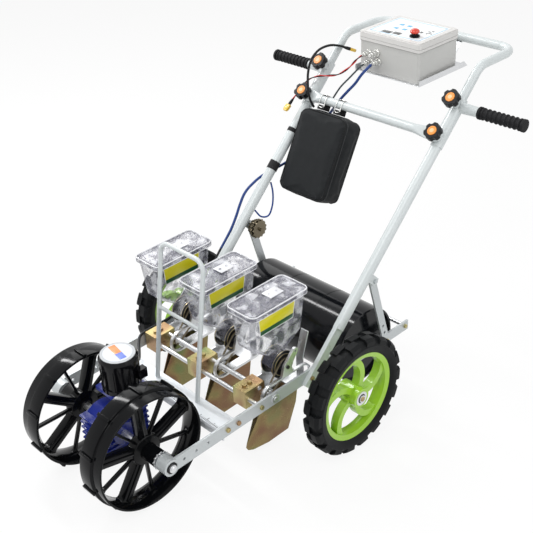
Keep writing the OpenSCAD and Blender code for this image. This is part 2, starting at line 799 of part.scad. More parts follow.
// Folded blocks that grip both tool bars
module unit_blocks() {
    color("khaki") on_frame() for (x = units) translate([x, 0, 0]) {
        difference() {
            translate([block_x[0], block_u[0], block_w[0]])
                cube([block_x[1] - block_x[0], block_u[1] - block_u[0], block_w[1] - block_w[0]]);
            translate([block_x[0] + block_t, block_u[0] + block_t, block_w[0] - 1])
                cube([
                    block_x[1] - block_x[0] - 2 * block_t, block_u[1] - block_u[0] - 2 * block_t,
                    block_w[1] - block_w[0] - block_t + 1
                ]);
            at_uw([bar_u, 0]) cyl_x(block_x[0] - 1, block_x[1] + 1, bar_r + run_gap);
            at_uw(rear_bar) cyl_x(block_x[0] - 1, block_x[1] + 1, bar_r + run_gap);
            at_uw([shaft_u, 0]) cyl_x(block_x[0] - 1, block_x[1] + 1, shaft_r + shaft_clear);
        }
        for (u = [300, 318])
            translate([(block_x[0] + block_x[1]) / 2, u, block_w[1]]) {
                cylinder(r = head_r, h = head_h, $fn = 6);
                translate([0, 0, -block_t - 8]) cylinder(r = bolt_r - 0.5, h = block_t + 9);
            }
    }
}

// Carrier of one unit: oval side ring, left cheek, base plate and the rear clip
module unit_frame(x) {
    lug_r = 13;
    clip_x = [0, 24];
    clip_t = 3;
    color("silver") on_frame() translate([x, 0, 0]) difference() {
        union() {
            plate_x(ring_x[0], ring_x[1] - ring_x[0]) difference() {
                union() {
                    belt_2d(ring_c[0], ring_r, ring_c[1], ring_r);
                    belt_2d([roller_c[0], ring_r - 8], 22, roller_c, lug_r);
                    belt_2d(roller_c, lug_r, ear_c, ear_r);
                }
                belt_2d(ring_c[0], ring_r - ring_t, ring_c[1], ring_r - ring_t);
            }
            plate_x(side_x[0], side_x[1] - side_x[0]) union() {
                translate([base_u[0], base_w[0]]) square([base_u[1] - base_u[0], 40]);
                belt_2d([roller_c[0], 10], 24, roller_c, lug_r);
                belt_2d(roller_c, lug_r, ear_c, ear_r);
            }
            translate([side_x[0], base_u[0], base_w[0]])
                cube([ring_x[1] - side_x[0], base_u[1] - base_u[0], base_w[1] - base_w[0]]);
            plate_x(clip_x[0], clip_x[1] - clip_x[0])
                polygon([
                    [base_u[1] - clip_t, base_w[0]], [base_u[1], base_w[0]], [base_u[1], 44],
                    [base_u[1] + 22, 112], [base_u[1] + 22 - clip_t, 113], [base_u[1] - clip_t, 45]
                ]);
        }
        at_uw(roller_c) cyl_x(side_x[0] - 1, ring_x[1] + 1, pin_r + run_gap);
        at_uw(ear_c) cyl_x(side_x[0] - 1, ring_x[1] + 1, ear_pin_r + run_gap);
        translate([-drop_w / 2, roller_c[0] - drop_len / 2, base_w[0] - 1])
            cube([drop_w, drop_len, base_w[1] - base_w[0] + 2]);
    }
}

module unit_frame_1() unit_frame(units[0]);
module unit_frame_2() unit_frame(units[1]);
module unit_frame_3() unit_frame(units[2]);

// Furrow opener: a folded shoe, V-shaped in front and open behind
module opener_side() polygon([
    [346, base_w[0] - seat_gap], [324, -58], [280, -140], [276, -152], [282, -163], [298, -169],
    [418, -168], [450, -96], [462, base_w[0] - seat_gap]
]);
module opener_plan(inset) polygon([
    [274 + 3 * inset, 0], [345 + 0.3 * inset, -opener_half + inset], [480, -opener_half + inset],
    [480, opener_half - inset], [345 + 0.3 * inset, opener_half - inset]
]);
module opener(x) {
    color("darkkhaki") on_frame() translate([x, 0, 0]) intersection() {
        plate_x(-40, 80) opener_side();
        translate([0, 0, -200]) linear_extrude(200) rotate(90) mirror([0, 1, 0]) difference() {
            opener_plan(0);
            opener_plan(opener_t);
        }
    }
}
module opener_1() opener(units[0]);
module opener_2() opener(units[1]);
module opener_3() opener(units[2]);

// One level of a hopper: a thin rounded slab at height w, centred at u
module hopper_level(u, w, len, wid, r)
    translate([0, u, w]) rotate(90) linear_extrude(level_t) rounded_rect(len, wid, r);

module hopper_skin(inset) {
    up = inset > 0 ? 1 : 0;
    hull() {
        hopper_level(hopper_u, rim_w + up, hopper_len - 2 * inset, hopper_wid - 2 * inset, 14 - inset);
        hopper_level(hopper_u, waist_w, waist_len - 2 * inset, waist_wid - 2 * inset, 14 - inset);
    }
    hull() {
        hopper_level(hopper_u, waist_w, waist_len - 2 * inset, waist_wid - 2 * inset, 14 - inset);
        hopper_level(throat_u, throat_w - up, throat_len - 2 * inset, throat_wid - 2 * inset, 6 - inset / 2);
    }
}

// Clear hopper: rimmed tub that tapers to a throat over the seed roller, with a hood behind it
module hopper(x) {
    hood_out = roller_r + 1 + hood_t;
    color([0.85, 0.9, 0.95, 0.5]) on_frame() translate([x, 0, 0]) difference() {
        union() {
            hopper_skin(0);
            translate([0, hopper_u, rim_w - 5]) rotate(90) linear_extrude(5)
                rounded_rect(hopper_len + 2 * rim_flange, hopper_wid + 2 * rim_flange, 16);
            plate_x(-roller_half - 1, 2 * roller_half + 2) intersection() {
                translate(roller_c) circle(r = hood_out);
                translate(roller_c + [-hood_out, 8]) square([2 * hood_out, hood_out]);
            }
            at_uw(ear_c) {
                cyl_x(side_x[1] + seat_gap, ring_x[0] - seat_gap, ear_boss_r);
                cyl_x(side_x[0] - 2, ring_x[1] + 2, ear_pin_r);
            }
        }
        hopper_skin(hopper_wall);
        plate_x(-roller_half - 2, 2 * roller_half + 4) translate(roller_c) circle(r = roller_r + 1);
    }
}
module hopper_1() hopper(units[0]);
module hopper_2() hopper(units[1]);
module hopper_3() hopper(units[2]);

// Lift-off lid with a skirt round the hopper's rim and a latch pad
module hopper_lid(x) {
    over = rim_flange + 0.4;
    len = hopper_len + 2 * over + 2 * lid_t;
    wid = hopper_wid + 2 * over + 2 * lid_t;
    color([0.88, 0.92, 0.96, 0.5]) on_frame() translate([x, hopper_u, rim_w + 0.6]) rotate(90) {
        difference() {
            translate([0, 0, lid_t - lid_h]) linear_extrude(lid_h) rounded_rect(len, wid, 18);
            translate([0, 0, -lid_h]) linear_extrude(lid_h) rounded_rect(len - 2 * lid_t, wid - 2 * lid_t, 16);
        }
        translate([18, 0, lid_t]) linear_extrude(3) rounded_rect(46, 34, 6);
        for (i = [-1, 1]) translate([18 + i * 12, 0, lid_t]) cylinder(r = 4, h = 5);
    }
}
module hopper_lid_1() hopper_lid(units[0]);
module hopper_lid_2() hopper_lid(units[1]);
module hopper_lid_3() hopper_lid(units[2]);

// Seed roller with two flanges, a pocketed core, its pin and its sprocket
module seed_roller(x) {
    pockets = 12;
    color([0.12, 0.12, 0.12]) on_frame() translate([x, 0, 0]) at_uw(roller_c) {
        difference() {
            cyl_x(-roller_half, roller_half, roller_core_r);
            for (i = [0:pockets - 1])
                rotate([i * 360 / pockets, 0, 0]) translate([0, 0, roller_core_r]) sphere(r = 4, $fn = 24);
        }
        for (k = [-1, 1]) translate([k * (roller_half - 2), 0, 0]) cyl_x(-2, 2, roller_r);
        cyl_x(side_x[0] - 3, ring_x[1] + 3, pin_r);
        sprocket(chain_x[0] + 0.5, sprocket_t, driven_r - chain_gap, driven_teeth, pin_r - 0.5);
    }
}
module seed_roller_1() seed_roller(units[0]);
module seed_roller_2() seed_roller(units[1]);
module seed_roller_3() seed_roller(units[2]);

// Shaft through all units with a drive sprocket in each
module seed_shaft() {
    color("silver") on_frame() at_uw([shaft_u, 0]) {
        cyl_x(-rail_out - 5, rail_out + 5, shaft_r);
        for (x = units) translate([x, 0, 0])
            sprocket(chain_x[0] + 0.5, sprocket_t, drive_r - chain_gap, drive_teeth, shaft_r - 0.5);
    }
}

// Drive chains between the seed shaft and the seed rollers
module seed_chains() {
    c1 = [shaft_u, 0];
    color("darkgoldenrod") on_frame() for (x = units) translate([x, 0, 0])
        plate_x(chain_x[0], chain_x[1] - chain_x[0]) difference() {
            belt_2d(c1, drive_r + chain_t, roller_c, driven_r + chain_t);
            belt_2d(c1, drive_r, roller_c, driven_r);
        }
}

// Control box

// Tray with turned-up sides and a rear leaf that hooks under the cross bar
module box_tray() {
    half = box_w / 2 + 8;
    front = box_u - 6;
    rear = box_u + box_d + 40;
    leaf_top = loop_h - tube_r - 0.2;
    color("lightgray") on_frame() {
        difference() {
            translate([-half, front, box_base_w - tray_t]) cube([2 * half, rear - front, tray_t + tray_side]);
            translate([-half + tray_t, front - 1, box_base_w])
                cube([2 * half - 2 * tray_t, rear - front + 2, 2 * tray_side]);
            for (k = [-1, 1]) translate([k * half, rear, box_base_w + tray_side]) rotate([45, 0, 0])
                cube([20, 26, 26], center = true);
        }
        plate_x(-60, 120)
            polygon([
                [rear - 2, box_base_w - tray_t], [rear, box_base_w - tray_t],
                [loop_end - 8, leaf_top - tray_t], [loop_end + 14, leaf_top - tray_t],
                [loop_end + 14, leaf_top], [loop_end - 9, leaf_top], [rear - 1, box_base_w],
                [rear - 2, box_base_w]
            ]);
    }
}

module box_block(x, d, h, r) linear_extrude(h) rounded_rect(x, d, r);

module control_box() {
    body_h = box_h - lid_part_h;
    color("gainsboro") on_frame() translate([0, box_u + box_d / 2, box_base_w + 0.05]) difference() {
        box_block(box_w - 4, box_d - 4, body_h - 0.1, 8);
        translate([0, 0, 4]) box_block(box_w - 12, box_d - 12, body_h, 5);
        for (g = connector_grid)
            translate([g[0], -box_d / 2 + 10, g[1] - box_base_w]) rotate([90, 0, 0])
                cylinder(r = connector_r - 1 + run_gap, h = 20);
    }
}

// Lid with the membrane panel let into its top
module box_lid() {
    lid_w = box_base_w + box_h - lid_part_h;
    color("whitesmoke") on_frame() translate([0, box_u + box_d / 2, lid_w]) difference() {
        union() {
            box_block(box_w, box_d, lid_part_h - 3, 9);
            box_block(box_w - 6, box_d - 6, lid_part_h, 7);
        }
        translate([0, 0, -1]) box_block(box_w - 12, box_d - 12, lid_part_h - 3, 5);
        translate([0, 0, lid_part_h - 0.6]) box_block(box_w - 30, box_d - 30, 2, 5);
        translate([stop_at[0], stop_at[1] - box_u - box_d / 2, -1]) cylinder(r = 11 + run_gap, h = 40);
    }
}

// Latching mushroom stop button
module stop_button() {
    top = box_base_w + box_h;
    color("red") on_frame() translate([stop_at[0], stop_at[1], top]) {
        translate([0, 0, -16]) cylinder(r = 11, h = 26);
        translate([0, 0, 10]) rotate_extrude() polygon([[0, 0], [15, 0], [19, 3], [19, 7], [15, 11], [0, 13]]);
    }
}

// Screw-coupled sockets on the front of the box
module connectors() {
    color("silver") on_frame() for (g = connector_grid) translate([g[0], box_u + 2, g[1]]) rotate([90, 0, 0]) {
        translate([0, 0, -8]) cylinder(r = connector_r - 1, h = 12);
        cylinder(r = connector_r + 3, h = 4, $fn = 6);
        translate([0, 0, 3.5]) cylinder(r = connector_r, h = 14);
        translate([0, 0, 17]) cylinder(r = connector_r - 1.2, h = 9);
        translate([0, 0, 25.5]) cylinder(r = connector_r - 3, h = connector_len - 25.5);
    }
}

// Battery bag and its leads

// Padded bag with rounded corners, thinner at its edges
module battery_bag() {
    corner = 30;
    edge = 14;
    color([0.08, 0.08, 0.09]) on_frame() translate(bag_c) rotate([-bag_lean, 0, 0]) hull()
        for (i = [-1, 1], k = [-1, 1]) {
            translate([i * (bag_w / 2 - corner), bag_d / 2 - edge, k * (bag_h / 2 - corner)])
                rotate([90, 0, 0]) cylinder(r = corner, h = bag_d - 2 * edge, $fn = 32);
            translate([i * (bag_w / 2 - corner), bag_d / 2, k * (bag_h / 2 - corner)])
                rotate([90, 0, 0]) cylinder(r = corner - edge, h = bag_d, $fn = 32);
        }
}

// Straps over the cross tube, with both tails down to the bag's top
module bag_straps() {
    strap_w = 24;
    spread = 30;
    inner = tube_r + seat_gap;
    outer = inner + 2.2;
    up = [sin(bag_lean), cos(bag_lean)];
    tube_c = [
        foot_u + low_knob_s * cos(handle_angle) - cross_off * sin(handle_angle),
        low_knob_s * sin(handle_angle) + cross_off * cos(handle_angle)
    ];
    drop = (tube_c - [bag_c[1], bag_c[2]]) * up - bag_h / 2 - seat_gap;
    color([0.1, 0.1, 0.1]) on_frame() for (k = [-1, 1])
        plate_x(bag_c[0] + k * spread - strap_w / 2, strap_w) translate(tube_c) rotate(-bag_lean) difference() {
            union() {
                circle(r = outer);
                translate([-outer, -drop]) square([2 * outer, drop]);
            }
            circle(r = inner);
            translate([-inner, -drop - 1]) square([2 * inner, drop + 1]);
        }
}

// Stack of spare change sprockets kept on the left brace's upper bolt
module spare_sprockets() {
    tips = [22, 25, 28, 30, 27];
    counts = [11, 12, 14, 15, 13];
    gap = 6.5;
    start = head_h + seat_gap - rail_out;
    color("dimgray") on_frame() at_uw(lug_c) {
        for (i = [0:len(tips) - 1]) rotate([i * 9, 0, 0])
            sprocket(start + 1 + i * gap, sprocket_t, tips[i], counts[i], bolt_r);
        cyl_x(start, start + len(tips) * gap + 6, bolt_r + 0.5);
    }
}

// A round tube swept along a smooth curve through the points of a route
function curve_at(p, i, t) =
    let (n = len(p) - 1, a = p[max(i - 1, 0)], b = p[i], c = p[i + 1], d = p[min(i + 2, n)])
    0.5 * (2 * b + (c - a) * t + (2 * a - 5 * b + 4 * c - d) * t * t + (3 * b - a - 3 * c + d) * t * t * t);
function curve(p, steps) = concat(
    [for (i = [0:len(p) - 2], k = [0:steps - 1]) curve_at(p, i, k / steps)], [p[len(p) - 1]]
);
function unit(v) = v / norm(v);
function along(p, i) = unit(p[min(i + 1, len(p) - 1)] - p[max(i - 1, 0)]);
function carried(p, i) = i == 0
    ? unit(cross(along(p, 0), abs(along(p, 0)[2]) < 0.9 ? [0, 0, 1] : [1, 0, 0]))
    : let (t = along(p, i), v = carried(p, i - 1)) unit(v - t * (v * t));
module swept_tube(route, d, sides = 8, steps = 2) {
    p = curve(route, steps);
    n = len(p);
    rings = [
        for (i = [0:n - 1])
            let (t = along(p, i), u = carried(p, i), v = cross(t, u))
            for (k = [0:sides - 1]) p[i] + d / 2 * (u * cos(k * 360 / sides) + v * sin(k * 360 / sides))
    ];
    faces = concat(
        [[for (k = [0:sides - 1]) k]],
        [for (i = [0:n - 2], k = [0:sides - 1])
            let (a = i * sides + k, b = i * sides + (k + 1) % sides) [a, a + sides, b + sides]],
        [for (i = [0:n - 2], k = [0:sides - 1])
            let (a = i * sides + k, b = i * sides + (k + 1) % sides) [a, b + sides, b]],
        [[for (k = [0:sides - 1]) n * sides - 1 - k]]
    );
    polyhedron(points = rings, faces = faces, convexity = 6);
}

battery_route = [
    [-188, 941, 484.1], [-189, 933, 500], [-192, 922, 523], [-200, 930, 551], [-214, 947, 581], [-226, 975, 607],
    [-230, 1013, 625], [-222, 1048, 630], [-212, 1081, 622], [-207, 1106, 610]
];
module battery_lead() color([0.05, 0.05, 0.05]) on_frame() swept_tube(battery_route, lead_d);

power_route = [
    [-68, 1007.7, 642], [-70, 996, 639], [-90, 985, 613], [-135, 986, 580], [-185, 992, 563], [-222, 995, 552],
    [-247, 989, 541], [-258, 972, 523], [-261, 946, 503], [-262, 925, 487]
];
module power_lead() color([0.6, 0.1, 0.1]) on_frame() swept_tube(power_route, pair_d);

loom_route = [
    [-34, 1007.7, 624], [-36, 996, 619], [-58, 986, 581], [-90, 981, 546], [-117, 979, 515], [-142, 984, 485],
    [-168, 996, 460], [-190, 985, 423], [-206, 964, 381], [-220, 927, 343], [-232, 877, 324], [-246, 827, 310],
    [-255, 776, 299], [-259, 716, 268], [-257, 683, 220], [-256, 654, 179], [-254, 598, 124], [-248, 534, 62],
    [-247, 490, 33], [-239, 440, 26], [-227, 392, 23], [-223, 341, 23], [-223, 289, 23], [-216, 262, 23],
    [-194, 241, 24], [-156, 213, 30], [-108, 177, 48], [-60, 141, 91], [-28, 114, 126], [-17, 96, 135]
];
bight_route = [
    [-223.4, 790.4, 288.6], [-210, 784, 262], [-201, 770, 225], [-203, 754, 200], [-213, 736, 201], [-226.5, 724, 222]
];
grey_route = [
    [-62, 1007.7, 618], [-64, 996, 614], [-88, 983, 584], [-118, 979, 550], [-142, 978, 516], [-158, 972, 488],
    [-160, 968, 472]
];
module control_leads() on_frame() {
    color([0.1, 0.2, 0.6]) swept_tube(loom_route, loom_d);
    color([0.1, 0.2, 0.6]) swept_tube(bight_route, grey_d);
    color([0.6, 0.6, 0.62]) swept_tube(grey_route, grey_d);
}

// Two-pin plug with its boot, pointing along the end of a route
module plug(route, d) {
    n = len(route) - 1;
    dir = unit(route[n] - route[n - 1]);
    boot = 12;
    body = [16, 9, 22];
    color("gold") on_frame() translate(route[n]) rotate([0, acos(dir[2]), atan2(dir[1], dir[0])]) {
        translate([0, 0, seat_gap]) cylinder(r1 = d / 2, r2 = d / 2 + 1, h = boot);
        translate([-body[1] / 2, -body[0] / 2, boot]) cube([body[1], body[0], body[2]]);
    }
}
module lead_plugs() {
    plug(battery_route, lead_d);
    plug(power_route, pair_d);
}

rail_left();
rail_right();
rear_arms();
cross_plate();
guard_hoop();
tool_bars();
frame_bolts();
shaft_bearings();
rear_axles();
roller_axle();
handle_left();
handle_right();
cross_tube();
braces();
grips();
motor();
gearbox();
battery_bag();
bag_straps();
spare_sprockets();
unit_blocks();
unit_frame_1();
unit_frame_2();
unit_frame_3();
opener_1();
opener_2();
opener_3();
hopper_1();
hopper_2();
hopper_3();
seed_chains();
front_axle();
front_wheel_left();
front_wheel_right();
rear_tyre_left();
rear_rim_left();
rear_tyre_right();
rear_rim_right();
press_roller();
seed_shaft();
seed_roller_1();
seed_roller_2();
seed_roller_3();
hopper_lid_1();
hopper_lid_2();
hopper_lid_3();
knob_low_left();
knob_low_right();
knob_high_left();
knob_high_right();
upper_handle();
box_tray();
control_box();
box_lid();
stop_button();
connectors();
battery_lead();
power_lead();
control_leads();
lead_plugs();
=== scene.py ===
import json
import math

import bmesh
import bpy
from mathutils import Matrix, Vector
from mathutils.bvhtree import BVHTree

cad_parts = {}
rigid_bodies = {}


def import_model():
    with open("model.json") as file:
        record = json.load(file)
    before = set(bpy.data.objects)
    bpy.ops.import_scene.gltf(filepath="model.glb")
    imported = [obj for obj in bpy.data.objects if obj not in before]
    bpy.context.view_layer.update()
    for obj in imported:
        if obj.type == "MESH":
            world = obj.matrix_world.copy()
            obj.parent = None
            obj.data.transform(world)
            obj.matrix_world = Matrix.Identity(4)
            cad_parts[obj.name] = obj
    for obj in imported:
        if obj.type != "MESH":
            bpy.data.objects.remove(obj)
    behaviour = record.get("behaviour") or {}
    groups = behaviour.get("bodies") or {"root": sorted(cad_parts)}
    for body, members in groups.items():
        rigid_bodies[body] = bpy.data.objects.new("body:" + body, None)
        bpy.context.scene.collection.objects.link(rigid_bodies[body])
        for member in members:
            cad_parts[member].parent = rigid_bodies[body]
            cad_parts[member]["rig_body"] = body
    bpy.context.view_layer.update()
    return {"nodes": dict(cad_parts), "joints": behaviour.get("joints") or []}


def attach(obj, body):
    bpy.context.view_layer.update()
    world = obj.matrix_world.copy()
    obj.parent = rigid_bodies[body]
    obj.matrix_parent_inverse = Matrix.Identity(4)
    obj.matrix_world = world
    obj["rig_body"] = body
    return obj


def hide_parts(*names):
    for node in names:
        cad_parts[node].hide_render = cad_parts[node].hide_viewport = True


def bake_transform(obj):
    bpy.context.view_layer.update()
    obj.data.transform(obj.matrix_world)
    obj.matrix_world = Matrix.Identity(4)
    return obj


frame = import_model()
nodes = frame["nodes"]
joints = {joint["name"]: joint for joint in frame["joints"]}
body_of = {name: nodes[name]["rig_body"] for name in nodes}
scene = bpy.context.scene

# The pitched rail frame in millimetres: across, along the rail from the front axle, square to the rail.
# RAIL takes it to the model's metres.
MM = Matrix.Scale(0.001, 4)
front_axle = Vector(joints["front_axle_spin"]["pos_m"])
rail_up = Vector(joints["hopper_lid_1_lift"]["axis"])
PITCH = math.atan2(-rail_up.y, rail_up.z)
RAIL = Matrix.Translation(front_axle) @ Matrix.Rotation(PITCH, 4, "X") @ MM
SIDES = (("left", -1), ("right", 1))

# Handle: its slope, its feet, its knobs' places along the tube and the cross tube in front of it
HANDLE_ANGLE = math.radians(44.2)
HANDLE_X = 232
FOOT_U = 472
LOW_KNOB_S = 700
HIGH_KNOB_S = 800
CAP_SEAT = 54.2
CROSS_OFF = 28
CROSS_U = FOOT_U + LOW_KNOB_S * math.cos(HANDLE_ANGLE) - CROSS_OFF * math.sin(HANDLE_ANGLE)
CROSS_W = LOW_KNOB_S * math.sin(HANDLE_ANGLE) + CROSS_OFF * math.cos(HANDLE_ANGLE)

# Drive and seeding units
FRONT_WHEEL_X = 123
FRONT_WHEEL_TURN = {"left": 2, "right": 25}
REAR_RIM_TURN = 22
MOTOR_U = 46
MOTOR_TOP = 190
ROWS = (-176, 0, 176)
ROLLER_U = 401
ROLLER_W = 57
HOPPER_U = 378
HOPPER_SHRINK = 0.93
LID_WIDE = 106.8
LID_LONG = 210.8
LABEL_WIDE = 125
LABEL_HIGH = 52

# Control box from its front wall and its floor, the middle of its panel and its stop button
BOX_U = 1040.5
BOX_W = 588.2
BOX_WIDE = 210
BOX_LONG = 176
BOX_TOP = BOX_W + 112
PANEL_U = BOX_U + BOX_LONG / 2
STOP_X = 52
STOP_U = BOX_U + 46
STOP_R = 13

# Bag, and how far its filling may push the cloth out, in metres
BAG_LEAN = Matrix.Rotation(math.radians(-28), 4, "X")
BAG = Matrix.Translation((-122, 891, 366)) @ BAG_LEAN
BAG_SWELL = 0.003


def shift(x, u, w):
    return Matrix.Translation((x, u, w))


def turn(degrees, axis):
    return Matrix.Rotation(math.radians(degrees), 4, axis)


def on_handle(side, s):
    """A place on a handle's tube, s along it from its foot."""
    lean = Matrix.Rotation(HANDLE_ANGLE - math.pi / 2, 4, "X")
    return RAIL @ shift(side * HANDLE_X, FOOT_U, 0) @ lean @ shift(0, 0, s)


def added(name, data):
    made = bpy.data.objects.new(name, data)
    scene.collection.objects.link(made)
    return made


# Camera of the photograph


def photo_camera():
    data = bpy.data.cameras.new("photo_camera")
    data.sensor_width = 36
    data.lens = 65.56
    data.shift_x = 0.0129
    data.shift_y = 0.0056
    right = (0.6997, 0.7145, 0)
    up = (-0.3431, 0.3360, 0.8772)
    back = (0.6267, -0.6137, 0.4802)
    place = Matrix((right, up, back)).transposed().to_4x4()
    place.translation = (1.6122, front_axle.y - 1.0728, 1.635)
    camera = added("photo_camera", data)
    camera.matrix_world = place
    scene.camera = camera


photo_camera()


# Finishes


class Wire:
    """An output in one node tree; arithmetic on it adds Math nodes."""

    def __init__(self, shading, socket):
        self.shading = shading
        self.socket = socket

    def maths(self, operation, first, second):
        return self.shading.node("ShaderNodeMath", {"operation": operation}, {0: first, 1: second})

    def __add__(self, other):
        return self.maths("ADD", self, other)

    def __radd__(self, other):
        return self.maths("ADD", other, self)

    def __sub__(self, other):
        return self.maths("SUBTRACT", self, other)

    def __rsub__(self, other):
        return self.maths("SUBTRACT", other, self)

    def __mul__(self, other):
        return self.maths("MULTIPLY", self, other)

    def __rmul__(self, other):
        return self.maths("MULTIPLY", other, self)

    def __pow__(self, other):
        return self.maths("POWER", self, other)

    def __gt__(self, other):
        return self.maths("GREATER_THAN", self, other)

    def __lt__(self, other):
        return self.maths("LESS_THAN", self, other)


class Shading:
    """Adds nodes to one node tree."""

    def __init__(self, tree):
        self.tree = tree

    def node(self, kind, settings, sockets, out=0):
        made = self.tree.nodes.new(kind)
        for key, value in settings.items():
            if key == "stops":
                ramp = made.color_ramp
                while len(ramp.elements) < len(value):
                    ramp.elements.new(0.5)
                for stop, (spot, colour) in zip(ramp.elements, value):
                    stop.position = spot
                    stop.color = (*colour, 1)
            else:
                setattr(made, key, value)
        for key, value in sockets.items():
            if isinstance(value, Wire):
                self.tree.links.new(value.socket, made.inputs[key])
            else:
                made.inputs[key].default_value = value
        return Wire(self, made.outputs[out])

    def backdrop_rays(self):
        """One on the rays that show the backdrop: the camera's, through clear plastic and off gloss."""
        seen = self.node("ShaderNodeLightPath", {}, {}, "Is Camera Ray")
        for kind in ("Is Transmission Ray", "Is Glossy Ray"):
            seen = seen.maths("MAXIMUM", seen, self.node("ShaderNodeLightPath", {}, {}, kind))
        return seen


class Finish(Shading):
    """One procedural finish on Object coordinates."""

    def __init__(self, name, colour, roughness, metallic=0.0, **constants):
        self.material = bpy.data.materials.new(name)
        self.material.use_nodes = True
        super().__init__(self.material.node_tree)
        self.surface = self.tree.nodes["Principled BSDF"]
        self.constant("Base Color", (*colour, 1))
        self.constant("Roughness", roughness)
        self.constant("Metallic", metallic)
        for socket, value in constants.items():
            self.constant(socket.replace("_", " ").title().replace("Ior", "IOR"), value)
        self.place = self.node("ShaderNodeTexCoord", {}, {}, "Object")

    def constant(self, socket, value):
        self.surface.inputs[socket].default_value = value

    def feed(self, socket, wire):
        self.tree.links.new(wire.socket, self.surface.inputs[socket])

    def stretched(self, scale):
        return self.node("ShaderNodeMapping", {}, {"Vector": self.place, "Scale": scale})

    def noise(self, scale, detail=2.0, place=None):
        sockets = {"Vector": place or self.place, "Scale": scale, "Detail": detail}
        return self.node("ShaderNodeTexNoise", {}, sockets)

    def wave(self, direction, scale):
        settings = {"wave_type": "BANDS", "bands_direction": direction}
        sockets = {"Vector": self.place, "Scale": scale, "Distortion": 0.6, "Detail": 1.0}
        return self.node("ShaderNodeTexWave", settings, sockets)

    def ramp(self, wire, *stops):
        return self.node("ShaderNodeValToRGB", {"stops": stops}, {0: wire})

    def tint(self, factor, low, high):
        sockets = {0: factor, 6: (*low, 1), 7: (*high, 1)}
        self.feed("Base Color", self.node("ShaderNodeMix", {"data_type": "RGBA"}, sockets, 2))

    def bump(self, height, strength, distance=0.0005):
        sockets = {"Height": height, "Strength": strength, "Distance": distance}
        self.feed("Normal", self.node("ShaderNodeBump", {}, sockets))


def scaled(colour, factor, lift=0.0):
    return tuple(channel * factor + lift for channel in colour)


def painted(name, low, high, roughness):
    finish = Finish(name, high, roughness, coat_weight=0.15, coat_roughness=0.15)
    finish.tint(finish.noise(7, detail=3), low, high)
    finish.feed("Roughness", roughness - 0.06 + 0.14 * finish.noise(55))
    finish.bump(finish.noise(900), 0.05)
    return finish.material


def plated(name, low, high, roughness, metallic=0.9):
    """Zinc, nickel or brass with a fine brushed grain."""
    finish = Finish(name, high, roughness, metallic)
    brush = finish.noise(1, detail=3, place=finish.stretched((30, 900, 900)))
    cloud = finish.noise(14, detail=3)
    finish.tint(cloud * 0.6 + brush * 0.4, low, high)
    finish.feed("Roughness", roughness - 0.08 + 0.12 * brush + 0.1 * cloud)
    finish.bump(brush, 0.04)
    return finish.material


def passivated(name, green, gold, brown):
    """Yellow passivated steel with its slow drift of hue."""
    finish = Finish(name, gold, 0.3, metallic=0.85)
    drift = finish.noise(13, detail=1)
    finish.feed("Base Color", finish.ramp(drift, (0.34, green), (0.50, gold), (0.64, brown)))
    finish.feed("Roughness", 0.2 + 0.2 * finish.noise(120, detail=3))
    finish.bump(finish.noise(1, place=finish.stretched((60, 700, 700))), 0.05)
    return finish.material


def moulded(name, colour, roughness, coat=0.3, grain=500, depth=0.05, spread=0.35, gloss=0.5):
    """Moulded plastic or enamel; spread is how far its colour varies, grain and depth are its skin."""
    finish = Finish(name, colour, roughness, coat_weight=coat, coat_roughness=0.08,
                    specular_ior_level=gloss)
    cloud = finish.noise(11, detail=3)
    finish.tint(cloud, scaled(colour, 1 - spread * 0.5), scaled(colour, 1 + spread * 0.5))
    finish.feed("Roughness", roughness - 0.05 + 0.1 * finish.noise(80, detail=3))
    finish.bump(finish.noise(grain), depth)
    return finish.material


def rubber(name, colour, roughness, grain=700):
    finish = Finish(name, colour, roughness, specular_ior_level=0.12)
    dust = finish.noise(26, detail=4)
    finish.tint(dust, colour, scaled(colour, 1.7, 0.002))
    finish.feed("Roughness", roughness - 0.1 + 0.2 * dust)
    finish.bump(finish.noise(grain, detail=3), 0.16)
    return finish.material


def loom_sheath(name, low, high):
    """Black sleeve along the rail, blue sheath from the bight up."""
    finish = Finish(name, high, 0.42, specular_ior_level=0.3)
    height = finish.node("ShaderNodeSeparateXYZ", {}, {0: finish.place}, "Z")
    sleeve_top = 0.36
    ragged = 0.04 * finish.noise(30)
    finish.tint(height + ragged > sleeve_top, low, high)
    finish.feed("Roughness", 0.36 + 0.14 * finish.noise(90, detail=3))
    finish.bump(finish.noise(700, detail=3), 0.12)
    return finish.material


def clear(name, haze, edge, patches, dots):
    """Clear plastic: white where seen edge-on, a painted reflection; soft patches of painted light and
    shade as from bent light; dots from a pebbled skin.
    """
    finish = Finish(name, (0.80, 0.81, 0.88), 0.06, specular_ior_level=0.7)
    low, high, rim_falloff = 0.43, 0.57, 3.5
    cloud = finish.noise(34, detail=1)
    dot = finish.noise(210, detail=1) > high
    rim = finish.node("ShaderNodeLayerWeight", {}, {"Blend": 0.5}, "Facing")
    pale = (cloud - 0.42) * 6 - dots * dot
    # Painted light and shade: pale and dark patches by the cloud, darker still at the pebbled skin's dots
    finish.tint(pale, (0.16, 0.16, 0.21), (0.86, 0.87, 0.92))
    patch = (cloud > high) + (cloud < low)
    # Alpha: haze, the painted patches, the dots and the painted reflection at the edges
    finish.feed("Alpha", haze + patches * patch + 0.45 * dots * dot + edge * (rim ** rim_falloff))
    return finish.material


def highlight_and_shade_lines(name, colour, alpha):
    """White painted highlights and dark painted shade lines on the clear plastic."""
    finish = Finish(name, colour, 0.1, specular_ior_level=0.7)
    finish.tint(finish.noise(40), scaled(colour, 0.85), colour)
    finish.feed("Alpha", alpha - 0.1 + 0.2 * finish.noise(90))
    return finish.material


